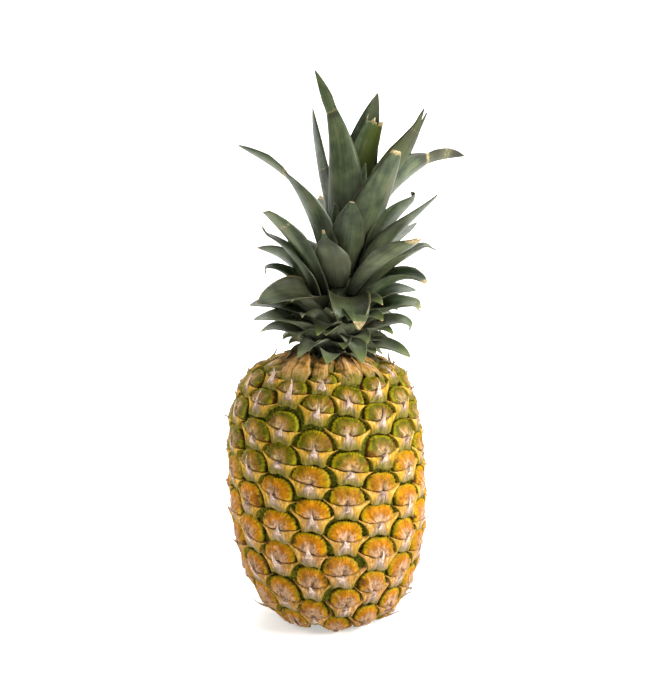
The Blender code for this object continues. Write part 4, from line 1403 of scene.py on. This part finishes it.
def paperyScale():
    # withered bract, grown: thin yellow-tan paper with long fibres, browner to the tip
    material, add, shader = newMaterial("withered_papery_scale", 0.8, 0.15)
    side, share, seed = meshValues(add, "scalePlace")
    where = add("TexCoord", output="Object")
    mottle = add("TexNoise", {"Vector": where, "Scale": 1.0 / (1.5 * mm), "Detail": 4.0, "Roughness": 0.6})
    blotch = add("TexNoise", {"Vector": where, "Scale": 1.0 / (6.0 * mm), "Detail": 3.0, "Roughness": 0.6})
    fibre = streaks(add, (side, share, seed), (5.0, 1.2, 40.0))
    paper = add("ValToRGB", (blotch,), stops=scaleLook["paper"])
    pale = add("MapRange", (fibre, 0.55, 0.7, 0.0, 0.6))
    foot = add("Math", (mottle, -0.5, share), operation="MULTIPLY_ADD")
    foot = add("MapRange", (foot, 0.1, -0.2, 0.0, 0.85))
    rim = add("Math", (side,), operation="ABSOLUTE")
    rim = add("Math", (mottle, 0.25, rim), operation="MULTIPLY_ADD")
    rim = add("MapRange", (rim, 0.92, 1.1, 0.0, 0.75))
    tip = add("Math", (mottle, 0.5, share), operation="MULTIPLY_ADD")
    tip = add("MapRange", (tip, 0.85, 1.3, 0.0, 0.85))
    layers = [(pale, scaleLook["fibre"]), (foot, scaleLook["foot"]), (rim, scaleLook["rim"]),
              (tip, scaleLook["tip"])]
    rough = add("MapRange", (fibre, 0.3, 0.7, 0.65, 0.92))
    dress(add, shader, coat(add, paper, layers, [(fibre, 0.66, 1.25)]), rough, fibre, 0.8, 0.5)
    return material


makeCollar(paperyScale())
print("collar of bracts built")


# Studio: a pale sweep of floor and backdrop, soft light all round and a large key light
studio = {
    "floorFront": 1.6,
    "floorHalfWidth": 2.56,
    "sweepRadius": 0.6,
    "sweepBack": 1.3,
    "wallTop": 2.4,
    "paint": "#dededc",
    "paintGlow": 0.62,
    "worldStrength": 0.29,
    "lights": (
        # name, place, aimed at, size, watts
        ("key_light", (1.3, -0.6, 0.8), (0.0, 0.0, 0.14), 0.7, 41.0),
        ("fill_light", (-0.2, -1.3, 0.8), (0.0, 0.0, 0.14), 1.0, 2.5),
        ("rim_light", (-1.0, 0.5, 0.5), (0.0, 0.0, 0.14), 0.8, 8.0),
        ("backdrop_light", (0.0, 0.75, 1.75), (0.0, 1.9, 0.35), 1.4, 80.0),
    ),
}


def makeStudio():
    # the floor with its backdrop, the lamps and the light of the room
    turns = np.linspace(0.0, math.pi / 2.0, 13)
    back, radius = studio["sweepBack"], studio["sweepRadius"]
    profile = [(-studio["floorFront"], 0.0)]
    profile += [(back + radius * math.sin(t), radius * (1.0 - math.cos(t))) for t in turns]
    profile.append((back + radius, studio["wallTop"]))
    points = []
    for y, z in profile:
        points += [(-studio["floorHalfWidth"], y, z), (studio["floorHalfWidth"], y, z)]
    mesh = bpy.data.meshes.new("floor_sweep")
    mesh.from_pydata(points, [], gridFaces(len(profile), 2))
    mesh.shade_smooth()
    material, _, shader = newMaterial("matt_white_paint", 0.9, 0.1)
    shader.inputs["Base Color"].default_value = linear(studio["paint"])
    shader.inputs["Emission Color"].default_value = linear(studio["paint"])
    shader.inputs["Emission Strength"].default_value = studio["paintGlow"]
    mesh.materials.append(material)
    floor = bpy.data.objects.new("floor_sweep", mesh)
    bpy.context.scene.collection.objects.link(floor)
    for name, place, aim, size, watts in studio["lights"]:
        lamp = bpy.data.lights.new(name, "AREA")
        lamp.size = size
        lamp.energy = watts
        light = bpy.data.objects.new(name, lamp)
        light.location = place
        toward = np.array(place) - np.array(aim)
        light.rotation_euler = (
            math.acos(toward[2] / np.linalg.norm(toward)), 0.0, math.atan2(toward[0], -toward[1]))
        bpy.context.scene.collection.objects.link(light)
    world = bpy.data.worlds.new("studio_air")
    world.use_nodes = True
    sky = world.node_tree.nodes["Background"]
    sky.inputs["Color"].default_value = (1.0, 1.0, 1.0, 1.0)
    sky.inputs["Strength"].default_value = studio["worldStrength"]
    bpy.context.scene.world = world
    bpy.context.scene.view_settings.view_transform = "Standard"


# Camera: level with the top of the fruit and a little above, looking slightly down
camera = {"place": (-0.0031, -0.5796, 0.2338), "pitchDown": 6.65, "lens": 51.44, "sensor": 36.0}


def makeCamera():
    data = bpy.data.cameras.new("view_camera")
    data.lens = camera["lens"]
    data.sensor_width = camera["sensor"]
    item = bpy.data.objects.new("view_camera", data)
    item.location = camera["place"]
    item.rotation_euler = (math.radians(90.0 - camera["pitchDown"]), 0.0, 0.0)
    bpy.context.scene.collection.objects.link(item)
    bpy.context.scene.camera = item


makeStudio()
makeCamera()
print("studio and camera ready")
